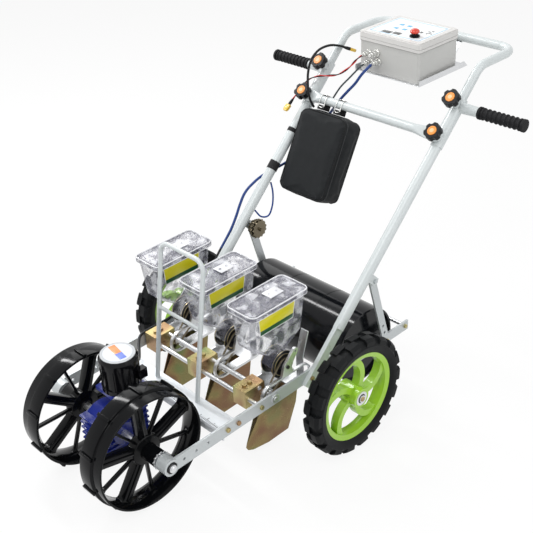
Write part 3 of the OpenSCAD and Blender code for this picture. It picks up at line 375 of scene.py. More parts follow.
def woven(name, colour, pitch):
    finish = Finish(name, colour, 0.75, specular_ior_level=0.2, sheen_weight=0.04, sheen_roughness=0.5)
    finish.tint(finish.noise(9, detail=3), colour, scaled(colour, 1.7, 0.003))
    finish.feed("Roughness", 0.62 + 0.2 * finish.noise(60, detail=3))
    finish.bump(finish.wave("X", pitch) * 0.5 + finish.wave("Z", pitch) * 0.5, 0.22)
    return finish.material


PAINT = painted("white_tube_paint", (0.54, 0.58, 0.585), (0.62, 0.66, 0.665), 0.28)

DULL_ZINC = plated("dull_zinc_bar", (0.47, 0.50, 0.51), (0.58, 0.61, 0.62), 0.40, metallic=0.55)
BRIGHT_ZINC = plated("bright_zinc", (0.62, 0.63, 0.65), (0.78, 0.79, 0.80), 0.26)
RULED_ZINC = plated("ruled_zinc", (0.66, 0.69, 0.72), (0.78, 0.81, 0.84), 0.34, metallic=0.5)
YELLOW_ZINC = passivated("yellow_passivated", (0.26, 0.30, 0.12), (0.46, 0.38, 0.17), (0.34, 0.21, 0.11))
OPENER_ZINC = passivated("opener_passivated", (0.16, 0.20, 0.075), (0.25, 0.19, 0.08), (0.20, 0.11, 0.06))
DARK_STEEL = plated("oiled_sprocket", (0.10, 0.085, 0.06), (0.26, 0.22, 0.15), 0.36)
GOLD_RING = plated("brass_ring", (0.52, 0.42, 0.22), (0.70, 0.60, 0.38), 0.3)
NICKEL = plated("nickel", (0.62, 0.62, 0.60), (0.80, 0.80, 0.78), 0.2)

WHEEL_BLACK = moulded("wheel_moulding", (0.003, 0.0033, 0.004), 0.13, coat=0, grain=260, depth=0.02,
                      gloss=0.14)
ROLLER_BLACK = moulded("press_roller_skin", (0.004, 0.0045, 0.006), 0.13, coat=0, grain=120, depth=0.02,
                       gloss=0.2)
SEED_BLACK = moulded("seed_roller_moulding", (0.008, 0.008, 0.010), 0.3, coat=0.1, gloss=0.35)
MOTOR_BLACK = moulded("motor_enamel", (0.003, 0.003, 0.004), 0.14, coat=0, grain=300, depth=0.03, gloss=0.2)
KNOB_BLACK = moulded("knob_moulding", (0.006, 0.0065, 0.008), 0.36, coat=0, grain=600, depth=0.08,
                     gloss=0.16)
LIME = moulded("lime_rim", (0.31, 0.56, 0.028), 0.32, coat=0.25, grain=420, spread=0.14)
GEAR_BLUE = moulded("gearbox_enamel", (0.012, 0.025, 0.24), 0.3, coat=0.4, grain=700, depth=0.08)
ORANGE = moulded("orange_cap", (0.78, 0.26, 0.02), 0.32, coat=0.2, depth=0.04, spread=0.1)
ORANGE_PALE = moulded("orange_cap_centre", (0.80, 0.50, 0.26), 0.32, coat=0.2, depth=0.04, spread=0.1)
STOP_RED = moulded("stop_red", (0.62, 0.035, 0.012), 0.22, coat=0.4, grain=300, depth=0.02, spread=0.1)
PLUG_YELLOW = moulded("plug_yellow", (0.72, 0.46, 0.045), 0.35, coat=0.2, spread=0.15)

CLEAR_TUB = clear("clear_tub", haze=0.06, edge=0.7, patches=0.16, dots=0)
CLEAR_LID = clear("pebbled_lid", haze=0.2, edge=0.6, patches=0.12, dots=1)
# clear_edge paints white highlights on the lids' rims and skirts and also finishes the pads on top;
# clear_shade paints dark shade lines
CLEAR_EDGE = highlight_and_shade_lines("clear_edge", (0.92, 0.93, 0.96), 0.8)
CLEAR_SHADE = highlight_and_shade_lines("clear_shade", (0.16, 0.16, 0.20), 0.6)

LABEL_YELLOW = moulded("label_yellow", (0.66, 0.60, 0.008), 0.3, grain=300, depth=0.02, spread=0.08)
LABEL_GREEN = moulded("label_green", (0.004, 0.07, 0.02), 0.3, coat=0.2, grain=300, depth=0.02, spread=0.1)
LABEL_WHITE = moulded("label_edge", (0.74, 0.76, 0.76), 0.35, coat=0.2, grain=300, depth=0.02, spread=0.06)
DISC_GREY = moulded("motor_disc_rim", (0.42, 0.44, 0.46), 0.35, coat=0.2, depth=0.04, spread=0.1)
DISC_WHITE = moulded("motor_disc", (0.60, 0.63, 0.68), 0.35, coat=0.2, depth=0.03, spread=0.06)
DISC_ORANGE = moulded("disc_orange", (0.86, 0.24, 0.05), 0.35, coat=0.2, depth=0.03, spread=0.1)
DISC_BLUE = moulded("disc_blue", (0.10, 0.17, 0.62), 0.35, coat=0.2, depth=0.03, spread=0.1)

BOX_GREY = moulded("box_grey", (0.50, 0.50, 0.485), 0.42, coat=0.05, grain=900, depth=0.12, spread=0.08)
LID_GREY = moulded("lid_offwhite", (0.63, 0.62, 0.605), 0.4, coat=0.05, grain=900, depth=0.12, spread=0.06)
# Dark grey for the seam between box and lid, and for the painted shade line at the lid's step
SEAM_AND_STEP_SHADE = moulded("lid_seam", (0.22, 0.22, 0.21), 0.5, coat=0, grain=900, spread=0.1)
FILM = moulded("membrane_film", (0.84, 0.86, 0.87), 0.35, coat=0.1, grain=900, depth=0.06, spread=0.04)
FILM_PALE = moulded("membrane_border", (0.46, 0.68, 0.86), 0.35, coat=0.1, grain=900, spread=0.06)
FILM_BLUE = moulded("membrane_keys", (0.14, 0.46, 0.74), 0.35, coat=0.1, grain=900, spread=0.1)
FILM_DARK = moulded("display_window", (0.05, 0.055, 0.055), 0.2, grain=900, depth=0.02)

TYRE = rubber("tyre_rubber", (0.004, 0.0045, 0.005), 0.5, grain=420)
GRIP = rubber("grip_rubber", (0.010, 0.010, 0.011), 0.6, grain=900)
SHEATH_BLACK = rubber("black_sheath", (0.010, 0.010, 0.011), 0.45)
SHEATH_RED = rubber("red_sheath", (0.42, 0.012, 0.010), 0.42)
SHEATH_BLUE = rubber("blue_sheath", (0.014, 0.045, 0.19), 0.42)
SHEATH_GREY = rubber("grey_sheath", (0.05, 0.06, 0.065), 0.45)
SHEATH_LOOM = loom_sheath("loom_sheath", (0.010, 0.011, 0.013), (0.014, 0.045, 0.19))

BAG_CLOTH = woven("bag_cloth", (0.006, 0.007, 0.008), 260)
STRAP_CLOTH = woven("strap_webbing", (0.010, 0.010, 0.011), 420)
PIPING = rubber("bag_piping", (0.008, 0.0085, 0.009), 0.5)
ZIP = moulded("zip_track", (0.022, 0.024, 0.026), 0.42, coat=0.1, grain=900, depth=0.1, gloss=0.3)


# Modelling


def arc(radius, degrees, middle=(0, 0)):
    """Points of a circle at the given angles."""
    turns = [math.radians(angle) for angle in degrees]
    return [(middle[0] + radius * math.cos(a), middle[1] + radius * math.sin(a)) for a in turns]


def rounded_outline(wide, high, corner, steps=8):
    made = []
    for i, (sx, sz) in enumerate(((1, 1), (-1, 1), (-1, -1), (1, -1))):
        middle = (sx * (wide / 2 - corner), sz * (high / 2 - corner))
        made += arc(corner, [90 * (i + k / steps) for k in range(steps + 1)], middle)
    return made


def lathe(profile, steps=64):
    """A closed turning about X from (radius, along) points."""
    bm = bmesh.new()
    verts = [bm.verts.new((along, 0, radius)) for radius, along in profile]
    edges = [bm.edges.new(pair) for pair in zip(verts, verts[1:])]
    bmesh.ops.spin(bm, geom=verts + edges, cent=(0, 0, 0), axis=(1, 0, 0), angle=2 * math.pi, steps=steps,
                   use_merge=True)
    bmesh.ops.remove_doubles(bm, verts=bm.verts, dist=1e-3)
    bmesh.ops.recalc_face_normals(bm, faces=bm.faces)
    return bm


def ring(inner, outer, x0, x1, steps=64):
    return lathe([(inner, x0), (outer, x0), (outer, x1), (inner, x1), (inner, x0)], steps)


def disc(radius, x0, x1, soft=0.0, steps=48):
    return lathe([(0, x0), (radius, x0), (radius, x1 - soft), (radius - soft, x1), (0, x1)], steps)


def ease(bm, width, segments=2, angle=math.radians(32)):
    """Breaks the edges that turn by more than an angle."""
    sharp = [e for e in bm.edges if len(e.link_faces) == 2 and e.calc_face_angle() > angle]
    bmesh.ops.bevel(bm, geom=sharp, offset=width, affect="EDGES", segments=segments, profile=0.5,
                    material=-1, clamp_overlap=True)


def fill_corners(bm, radius):
    """Rounds the hollow corners that run across the frame, as between a wheel's spokes and rim."""
    least_turn, across = 0.6, 0.99
    hollow = [e for e in bm.edges if len(e.link_faces) == 2 and e.calc_face_angle_signed() < -least_turn
              and abs((e.verts[0].co - e.verts[1].co).normalized().x) > across]
    bmesh.ops.bevel(bm, geom=hollow, offset=radius, affect="EDGES", segments=4, profile=0.5,
                    material=-1, clamp_overlap=True)


def slab(size, at=(0, 0, 0), soft=0.0):
    bm = bmesh.new()
    bmesh.ops.create_cube(bm, size=1, matrix=Matrix.Translation(at) @ Matrix.Diagonal((*size, 1)))
    if soft:
        ease(bm, soft)
    return bm


def extruded(outline, along):
    """An outline drawn out along a vector."""
    bm = bmesh.new()
    face = bm.faces.new([bm.verts.new(point) for point in outline])
    grown = bmesh.ops.extrude_face_region(bm, geom=[face])["geom"]
    bmesh.ops.translate(bm, vec=along, verts=[g for g in grown if isinstance(g, bmesh.types.BMVert)])
    bmesh.ops.recalc_face_normals(bm, faces=bm.faces)
    return bm


def walled(bm, thick):
    """An open sheet of faces given its thickness."""
    bmesh.ops.recalc_face_normals(bm, faces=bm.faces)
    bmesh.ops.solidify(bm, geom=bm.faces[:], thickness=thick)
    bmesh.ops.recalc_face_normals(bm, faces=bm.faces)
    return bm


def swung(bm, degrees):
    """A shape turned about X."""
    bmesh.ops.transform(bm, matrix=turn(degrees, "X"), verts=bm.verts)
    return bm


def cut_up(bm):
    """Makes triangles of the faces with many corners."""
    bmesh.ops.triangulate(bm, faces=[face for face in bm.faces if len(face.verts) > 4])


def to_mesh(bm, name):
    mesh = bpy.data.meshes.new(name)
    bm.to_mesh(mesh)
    bm.free()
    return mesh


def joined(*parts):
    bm = bmesh.new()
    for part in parts:
        mesh = to_mesh(part, "part")
        bm.from_mesh(mesh)
        bpy.data.meshes.remove(mesh)
    return bm


def piece(bm, name, place, material, body, stands_for=()):
    """A shape as a piece on one body: put in its place, finished, and standing for any nodes named."""
    bmesh.ops.transform(bm, matrix=place, verts=bm.verts)
    mesh = to_mesh(bm, name)
    mesh.shade_smooth()
    mesh.set_sharp_from_angle(angle=math.radians(38))
    mesh.materials.append(material)
    made = added(name, mesh)
    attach(made, body)
    if stands_for:
        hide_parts(*stands_for)
    return made


def evaluated(made):
    """A new mesh of an object with its modifiers or its bevel."""
    return bpy.data.meshes.new_from_object(made.evaluated_get(bpy.context.evaluated_depsgraph_get()))


def settle(made):
    """Applies the modifiers of one piece."""
    mesh = evaluated(made)
    made.modifiers.clear()
    made.data = mesh


def eased(node, width, material, segments=2, corners=0, recast=None):
    """The solid of one node in its finish, its edges broken by a width in millimetres."""
    bm = bmesh.new()
    bm.from_mesh(nodes[node].data)
    bmesh.ops.remove_doubles(bm, verts=bm.verts, dist=4e-6)
    if recast:
        bmesh.ops.transform(bm, matrix=recast, verts=bm.verts)
        bmesh.ops.recalc_face_normals(bm, faces=bm.faces)
    bmesh.ops.dissolve_limit(bm, angle_limit=math.radians(0.5), verts=bm.verts, edges=bm.edges)
    if corners:
        fill_corners(bm, corners / 1000)
    if width:
        ease(bm, width / 1000, segments)
    cut_up(bm)
    made = piece(bm, node + "_made", Matrix.Identity(4), material, body_of[node], (node,))
    flats = made.modifiers.new("flats", "WEIGHTED_NORMAL")
    flats.keep_sharp = True
    settle(made)
    return made


def wire_curve(name, points, radius, material, cyclic=False):
    data = bpy.data.curves.new(name, "CURVE")
    data.dimensions = "3D"
    data.bevel_depth = radius
    data.bevel_resolution = 4
    data.use_fill_caps = not cyclic
    data.materials.append(material)
    data.resolution_u = 6
    spline = data.splines.new("BEZIER")
    spline.bezier_points.add(len(points) - 1)
    for spot, point in zip(spline.bezier_points, points):
        spot.co = point
        spot.handle_left_type = spot.handle_right_type = "AUTO"
    spline.use_cyclic_u = cyclic
    return added(name, data)


def tube_mesh(name, points, radius, material, cyclic=False):
    """A bent tube as a closed mesh."""
    bent = wire_curve(name + "_line", points, radius, material, cyclic)
    mesh = evaluated(bent)
    bpy.data.objects.remove(bent)
    bm = bmesh.new()
    bm.from_mesh(mesh)
    bmesh.ops.remove_doubles(bm, verts=bm.verts, dist=1e-6)
    return bm


def closed_wire(name, points, radius, material, body):
    """A wire, bead or piping that runs round and meets itself."""
    bm = tube_mesh(name, points, radius, material, cyclic=True)
    return piece(bm, name, Matrix.Identity(4), material, body)


# Leads: routes across, along and square to the rails, in millimetres

BATTERY_ROUTE = [
    (-188, 941, 484.1), (-188.5, 936, 493), (-190, 929, 508), (-193.5, 927, 528), (-201, 932, 553),
    (-213, 947, 581), (-226, 975, 607), (-230, 1013, 625), (-222, 1048, 630), (-212, 1081, 622),
    (-207, 1106, 610)]
POWER_ROUTE = [
    (-68, 1007.7, 642), (-68.8, 1002, 640.6), (-72, 995, 636), (-78, 990, 627.5), (-90, 986.5, 613),
    (-110, 985.5, 596), (-135, 986, 580), (-185, 992, 563), (-222, 995, 552), (-247, 988, 540),
    (-258, 971, 523), (-261, 946, 503), (-262, 925, 487)]
LOOM_ROUTE = [
    (-34, 1007.7, 624), (-35, 1000.5, 622.5), (-38.5, 993, 616.5), (-45, 988, 605), (-58, 985, 583),
    (-90, 981, 546), (-117, 979, 515), (-142, 984, 485), (-168, 995, 459), (-190, 985, 423),
    (-206, 964, 381), (-220, 927, 343), (-232, 877, 324), (-246, 827, 310), (-255, 776, 299),
    (-259, 716, 268), (-257, 683, 220), (-256, 654, 179), (-254, 598, 124), (-248, 534, 62),
    (-247, 490, 33), (-239, 440, 26), (-227, 392, 23), (-223, 341, 23), (-223, 289, 23),
    (-216, 262, 23), (-194, 241, 24), (-156, 213, 30), (-108, 177, 48), (-60, 141, 91),
    (-28, 114, 126), (-17, 96, 135)]
BIGHT_ROUTE = [
    (-223.4, 790.4, 288.6), (-210, 784, 262), (-201, 770, 225), (-203, 754, 200), (-213, 736, 201),
    (-226.5, 724, 222)]
GREY_ROUTE = [
    (-62, 1007.7, 618), (-62.8, 1002, 616.6), (-66, 994.5, 611), (-74, 988, 600), (-88, 983, 583),
    (-118, 979, 550), (-142, 978, 516), (-157, 973, 489), (-160, 968, 472)]


def smooth_route(points, count):
    """Evenly spaced points on a smooth curve through a route's points."""
    fine_steps = 24
    spots = [Vector(point) for point in points]
    spots = [2 * spots[0] - spots[1]] + spots + [2 * spots[-1] - spots[-2]]
    fine = []
    for a, b, c, d in zip(spots, spots[1:], spots[2:], spots[3:]):
        before, here, after = (b - a).length ** 0.5, (c - b).length ** 0.5, (d - c).length ** 0.5
        leave = (c - b) + here * ((b - a) / before - (c - a) / (before + here))
        arrive = (c - b) + here * ((d - c) / after - (d - b) / (here + after))
        for k in range(fine_steps):
            t = k / fine_steps
            fine.append((1 + 2 * t) * (1 - t) ** 2 * b + t * (1 - t) ** 2 * leave + t * t * (3 - 2 * t) * c
                        - t * t * (1 - t) * arrive)
    fine.append(spots[-2])
    step = sum((n - m).length for m, n in zip(fine, fine[1:])) / (count - 1)
    made, run = [fine[0]], 0
    for m, n in zip(fine, fine[1:]):
        run += (n - m).length
        if run >= step * len(made) and len(made) < count - 1:
            made.append(n)
    return made + [fine[-1]]


def strand(route, offset, turns, phase):
    """One wire of a twisted pair along a route."""
    askew = Vector((0.3, 0.2, 1))
    made = []
    for i, spot in enumerate(route):
        run = (route[min(i + 1, len(route) - 1)] - route[max(i - 1, 0)]).normalized()
        side = run.cross(askew).normalized()
        angle = phase + turns * 2 * math.pi * i / len(route)
        made.append(spot + offset * (math.cos(angle) * side + math.sin(angle) * run.cross(side)))
    return made


def lead(name, route, diameter, material, stands_for, plugged=False):
    """A lead, its sizes in metres; one plugged into the control box is baked in place on no body."""
    points = [RAIL @ spot for spot in route]
    if plugged:
        mesh = to_mesh(tube_mesh(name, points, diameter / 2, material), name)
        mesh.shade_smooth()
        mesh.materials.append(material)
        made = added(name, mesh)
        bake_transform(made)
    else:
        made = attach(wire_curve(name, points, diameter / 2, material), "chassis")
    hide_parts(stands_for)


def plug(name, route, wide):
    """A two-pin plug with its boot at the end of a route."""
    end = Vector(route[-1])
    aim = (end - Vector(route[-2])).to_track_quat("X", "Z").to_matrix().to_4x4()
    place = RAIL @ Matrix.Translation(end) @ aim
    half = wide / 2
    boot = lathe([(0, -8), (half + 0.3, -8), (half + 1.4, 1), (half + 1.6, 12), (0, 12)], 24)
    sleeve = piece(boot, name + "_boot", place, SHEATH_BLACK, "chassis")
    body = joined(slab((18, 16, 9), (21, 0, 0), 1.2), slab((5, 13, 7), (31, 0, 0), 0.8))
    shell = piece(body, name + "_shell", place, PLUG_YELLOW, "chassis", ("lead_plugs",))
    return [sleeve, shell]


def lead_pieces():
    battery_plug = plug("battery_plug", BATTERY_ROUTE, 7)
    power_plug = plug("power_plug", POWER_ROUTE, 6)
    # A lead's name, route, diameter, sheath, the node it stands for and whether its far end plugs into the
    # control box
    lead("battery_lead_made", smooth_route(BATTERY_ROUTE, 28), 0.007, SHEATH_BLACK,
         "battery_lead")
    power = smooth_route(POWER_ROUTE, 40)
    for name, phase, sheath in (("red", 0, SHEATH_RED), ("black", math.pi, SHEATH_BLACK)):
        wire = strand(power, offset=1.55, turns=3, phase=phase)
        lead("power_lead_" + name, wire, 0.003, sheath, "power_lead",
             plugged=True)
    lead("control_loom", smooth_route(LOOM_ROUTE, 40), 0.008, SHEATH_LOOM, "control_leads",
         plugged=True)
    lead("loom_bight", smooth_route(BIGHT_ROUTE, 20), 0.005, SHEATH_BLUE, "control_leads")
    lead("grey_lead", smooth_route(GREY_ROUTE, 24), 0.005, SHEATH_GREY, "control_leads",
         plugged=True)


# Frame, drive and seeding units


def frame_pieces():
    """Rails, bars, shafts and handle tubes."""
    for node in ("rail_left", "rail_right", "rear_arms", "braces"):
        eased(node, 0.7, DULL_ZINC)
    eased("cross_plate", 0.5, RULED_ZINC)
    for node, width in (("guard_hoop", 0), ("handle_left", 1.2), ("handle_right", 1.2), ("upper_handle", 0),
                        ("cross_tube", 0.8)):
        eased(node, width, PAINT)
    for node in ("tool_bars", "front_axle", "seed_shaft", "roller_axle", "rear_axles", "shaft_bearings"):
        eased(node, 0.5, BRIGHT_ZINC)
    eased("frame_bolts", 0.5, YELLOW_ZINC)
    eased("spare_sprockets", 0.3, DARK_STEEL)


def gearbox_fins():
    """Cooling fins on the gearbox's front."""
    size = (94, 58, 5)
    lowest, pitch = -31.5, 17
    fins = [slab(size, (0, -size[1] / 2, lowest + pitch * i), 1.2) for i in range(5)]
    piece(joined(*fins), "gearbox_fins", RAIL, GEAR_BLUE, "chassis")


def rim_recast(side):
    """Mirrors a rear rim and turns it about its hub, so that its spokes curl as in the photograph."""
    hub = Matrix.Translation(joints["rear_wheel_%s_spin" % side]["pos_m"])
    mirror = Matrix.Scale(-1, 4, (0, 0, 1)) @ Matrix.Rotation(-PITCH, 4, "X")
    turned = Matrix.Rotation(PITCH + math.radians(REAR_RIM_TURN), 4, "X") @ mirror
    return hub @ turned @ hub.inverted()


def drive_pieces():
    eased("motor", 0.8, MOTOR_BLACK)
    eased("gearbox", 1.5, GEAR_BLUE)
    gearbox_fins()
    for side, sign in SIDES:
        front_wheel(side, sign)
        eased("rear_tyre_" + side, 1.6, TYRE, segments=3)
        recast = rim_recast(side)
        eased("rear_rim_" + side, 2.4, LIME, segments=3, corners=5, recast=recast)
    eased("press_roller", 1.0, ROLLER_BLACK)


def spoke(half, deep, flare):
    """One wheel spoke along Y, half its width to each side, flared into the hub and the rim."""
    hub_r, hub_flare, rim_r = 37, 4, 139.5
    in_hub, in_rim = 26, 144
    edge = [(in_hub, half + hub_flare)]
    edge += arc(hub_flare, range(180, 271, 15), (hub_r + hub_flare, half + hub_flare))
    edge += arc(flare, range(270, 361, 15), (rim_r - flare, half + flare))
    edge.append((in_rim, half + flare))
    outline = edge + [(r, -b) for r, b in reversed(edge)]
    bm = extruded([(-deep / 2, r, b) for r, b in outline], (deep, 0, 0))
    ease(bm, 1.3, angle=math.radians(60))
    return bm


def front_wheel(side, sign):
    """A cleated wheel with deep and slim spokes by turns, as it stands in the photograph."""
    rim = lathe([(139, -13), (147, -27), (151, -35), (157, -35), (157, 5), (151, 6), (151, 35), (146, 35),
                 (139, 13), (139, -13)], 128)
    ease(rim, 1.2, 3)
    bore, hub_out = 10.3, 64
    hub = lathe([(bore, -19), (22, -19), (22, -13), (38, -13), (40, -11), (40, 14), (38, 16), (22, 17),
                 (22, hub_out), (bore, hub_out), (bore, -19)])
    ease(hub, 0.8)
    parts = [rim, hub]
    pairs, cleats = 5, 10
    for i in range(pairs):
        angle = 360 / pairs * i + FRONT_WHEEL_TURN[side]
        deep_spoke = spoke(half=12, deep=24, flare=11)
        rib = slab(size=(30, 98, 6), at=(0, 88, 0), soft=1.2)
        slim_spoke = spoke(half=3.4, deep=11, flare=9)
        parts += [swung(deep_spoke, angle), swung(rib, angle), swung(slim_spoke, angle + 180 / pairs)]
    for i in range(cleats):
        cleat = slab(size=(42, 9, 8.6), at=(-14.5, 0, 157.5), soft=1.2)
        parts.append(swung(cleat, 360 / cleats * i))
    bm = joined(*parts)
    if sign < 0:
        bmesh.ops.transform(bm, matrix=Matrix.Scale(-1, 4, (1, 0, 0)), verts=bm.verts)
        bmesh.ops.reverse_faces(bm, faces=bm.faces)
    cut_up(bm)
    place = Matrix.Translation(front_axle) @ MM @ shift(sign * FRONT_WHEEL_X, 0, 0)
    node = "front_wheel_" + side
    piece(bm, node + "_made", place, WHEEL_BLACK, body_of[node], (node,))


def unit_pieces():
    """The three seeding units, with hoppers and lids a little slimmer than their solids."""
    eased("unit_blocks", 0.4, YELLOW_ZINC)
    eased("seed_chains", 0.3, DARK_STEEL)
    for i, x in enumerate(ROWS, 1):
        eased("unit_frame_%d" % i, 0.6, BRIGHT_ZINC)
        eased("opener_%d" % i, 0.4, OPENER_ZINC)
        eased("seed_roller_%d" % i, 0.6, SEED_BLACK)
        middle = RAIL @ shift(x, HOPPER_U, 0)
        slim = middle @ Matrix.Diagonal((HOPPER_SHRINK, HOPPER_SHRINK, 1, 1)) @ middle.inverted()
        eased("hopper_%d" % i, 0.5, CLEAR_TUB, recast=slim)
        eased("hopper_lid_%d" % i, 0.6, CLEAR_LID, recast=slim)


def ruler_ticks():
    """The cross plate's scale, a tick every 5 mm and longer ones every 25 and 50 mm."""
    pitch, front, top = 5, 171, -10.9
    ticks = []
    for i in range(-42, 43):
        deep = 15 if i % 10 == 0 else 11 if i % 5 == 0 else 7
        ticks.append(slab((1.5, deep, 0.3), (i * pitch, front + deep / 2, top)))
    piece(joined(*ticks), "ruler_ticks", RAIL, SHEATH_BLACK, "chassis")


def hub_details():
    """Shields, seals and bolts at the rear hubs, and seals and screws at the front axle's ends."""
    for side, sign in SIDES:
        outward = turn(0 if sign > 0 else 180, "Z")
        wheel = "rear_wheel_" + side
        hub = Matrix.Translation(joints[wheel + "_spin"]["pos_m"]) @ MM @ outward
        axle = RAIL @ outward
        piece(ring(13, 19.5, 28.3, 29.6), "hub_shield_" + side, hub, BRIGHT_ZINC, wheel)
        piece(ring(10.4, 13, 28.3, 29.2), "hub_seal_" + side, hub, SHEATH_BLACK, wheel)
        bolt = disc(7.5, 32.4, 34.5, 0.8, steps=6)
        piece(bolt, "stub_bolt_" + side, hub, YELLOW_ZINC, "chassis")
        seal = ring(10.4, 14.8, 227.9, 229.2)
        piece(seal, "axle_seal_" + side, axle, SHEATH_BLACK, "chassis")
        screw = disc(6.5, 233.9, 236.5, 1.2)
        piece(screw, "axle_screw_" + side, axle, BRIGHT_ZINC, "front_axle_set")


def motor_disc():
    """The disc on the motor's end with two bare colour fields."""
    up = RAIL @ shift(0, MOTOR_U, MOTOR_TOP) @ turn(-90, "Y")
    piece(disc(43, -0.4, 1.2, 0.6), "motor_disc_rim", up, DISC_GREY, "chassis")
    piece(disc(36, 1.0, 1.7, 0.3), "motor_disc_face", up, DISC_WHITE, "chassis")
    flat = RAIL @ shift(0, MOTOR_U, MOTOR_TOP + 1.8) @ turn(-9.5, "Z")
    field = slab((36, 18, 0.3), (-15, 0, 0), 0.1)
    piece(field, "motor_disc_orange", flat, DISC_ORANGE, "chassis")
    field = slab((26, 18, 0.3), (17, 0, 0), 0.1)
    piece(field, "motor_disc_blue", flat, DISC_BLUE, "chassis")


def label(size, at):
    """One field of a label, tapered with the whole."""
    bm = slab(size, at, 0.1)
    for v in bm.verts:
        v.co.y *= 0.95 + 0.1 * v.co.z / LABEL_HIGH
    return bm


def hopper_labels():
    """A bare label on each hopper's near wall: a yellow field over a green band."""
    wall_x, middle_u, middle_w = HOPPER_SHRINK * 44.6, 366, 224.5
    lean = Matrix.Rotation(math.atan2(7, 112), 4, "Y")
    inner = LABEL_WIDE - 4
    for i, x in enumerate(ROWS, 1):
        wall = RAIL @ shift(x + wall_x, middle_u, middle_w) @ lean
        back = label((0.5, LABEL_WIDE, LABEL_HIGH), (0.4, 0, 0))
        piece(back, "label_back_%d" % i, wall, LABEL_WHITE, "chassis")
        field = label((0.3, inner, 35), (0.75, 0, 6.5))
        piece(field, "label_field_%d" % i, wall, LABEL_YELLOW, "chassis")
        band = label((0.3, inner, 12.5), (0.75, 0, -17.5))
        piece(band, "label_band_%d" % i, wall, LABEL_GREEN, "chassis")


def lid_edges():
    """The lids' rolled rims and skirts' edges with white painted highlights, the painted shade line inside
    the rims, and the pads on top.
    """
    wide, long = LID_WIDE * HOPPER_SHRINK, LID_LONG * HOPPER_SHRINK
    # Each line's name, inset, corner and height in millimetres, its radius in metres and its finish
    # bead and skirt are white painted highlights; line is a dark painted shade line
    lines = (("bead", 3.4, 16.3, 264.4, 0.0017, CLEAR_EDGE), ("line", 15, 11, 264.5, 0.0007, CLEAR_SHADE),
             ("skirt", 0.8, 17.6, 253.4, 0.0009, CLEAR_EDGE))
    for i, x in enumerate(ROWS, 1):
        body = "hopper_lid_%d" % i
        for name, inset, corner, w, radius, finish in lines:
            path = rounded_outline(wide - inset, long - inset, corner)
            line = [RAIL @ Vector((x + across, HOPPER_U + along, w)) for across, along in path]
            closed_wire("lid_%s_%d" % (name, i), line, radius, finish, body)
        top = RAIL @ shift(x, HOPPER_U + 18, 267.8)
        piece(slab((33, 45, 0.8), soft=0.3), "lid_pad_%d" % i, top, CLEAR_EDGE, body)


def roller_bands():
    """Two brass bands round each seed roller and one on each of its ends."""
    for i, x in enumerate(ROWS, 1):
        place = RAIL @ shift(x, ROLLER_U, ROLLER_W)
        bands = []
        for inner, outer, out, half in ((36, 38.35, 19, 0.9), (29, 31, 21, 0.5)):
            bands += [ring(inner, outer, k * out - half, k * out + half, 96) for k in (-1, 1)]
        piece(joined(*bands), "roller_bands_%d" % i, place, GOLD_RING, "seed_roller_%d" % i)


# Handle and control box


def control_pieces():
    eased("grips", 0.4, GRIP)
    for level in ("low", "high"):
        for side, sign in SIDES:
            eased("knob_%s_%s" % (level, side), 1.6, KNOB_BLACK, segments=3)
    eased("box_tray", 0.4, BRIGHT_ZINC)
    eased("control_box", 1.6, BOX_GREY, segments=3)
    eased("box_lid", 1.6, LID_GREY, segments=3)
    eased("connectors", 0.4, NICKEL)


def knob_caps():
    """Plain orange caps with a paler dot, one on each star knob."""
    for level, s in (("low", LOW_KNOB_S), ("high", HIGH_KNOB_S)):
        for side, sign in SIDES:
            place = on_handle(sign, s) @ turn(-90, "Z")
            name = "knob_%s_%s" % (level, side)
            cap = disc(13, CAP_SEAT, CAP_SEAT + 1.8, 1.0)
            piece(cap, name + "_cap", place, ORANGE, name)
            dot = disc(6, CAP_SEAT + 1.6, CAP_SEAT + 2.0, 0.2)
            piece(dot, name + "_dot", place, ORANGE_PALE, name)


def panel_film(place):
    """The membrane with its hole round the stop button."""
    hole = arc(STOP_R, [10 * k + 22.5 for k in range(36)], (STOP_X, STOP_U - PANEL_U))
    bm = bmesh.new()
    loops = []
    for outline in (rounded_outline(176, 142, 6), hole):
        verts = [bm.verts.new((a, b, 0)) for a, b in outline]
        loops += [bm.edges.new(pair) for pair in zip(verts, verts[1:] + verts[:1])]
    bmesh.ops.bridge_loops(bm, edges=loops)
    piece(walled(bm, 0.4), "panel_film", place, FILM, "upper_handle")


def panel_marks(place):
    """The membrane's border, keys, displays and plain marks."""
    border = [slab((168, 3, 0.15), (0, k * 65, 0.5)) for k in (-1, 1)]
    border += [slab((3, 133, 0.15), (k * 82.5, 0, 0.5)) for k in (-1, 1)]
    piece(joined(*border), "panel_border", place, FILM_PALE, "upper_handle")
    spots = ((-35, 1116), (-40, 1149), (-14, 1150), (-8, 1119))
    keys = [slab((13, 11, 0.5), (x, u - PANEL_U, 0.55), 0.3) for x, u in spots]
    piece(joined(*keys), "panel_keys", place, FILM_BLUE, "upper_handle")
    displays = ((-36, 1076, 30), (-4, 1081, 24))
    marks = ((44, 1122, 12, 4), (44, 1129, 7, 5), (60, 1142, 10, 4), (66, 1150, 6, 5), (70, 1130, 12, 4),
             (62, 1126, 4, 6))
    dark = [slab((wide, 17, 0.4), (x, u - PANEL_U, 0.55), 0.2) for x, u, wide in displays]
    dark += [slab((wide, deep, 0.2), (x, u - PANEL_U, 0.5)) for x, u, wide, deep in marks]
    piece(joined(*dark), "panel_windows", place, FILM_DARK, "upper_handle")


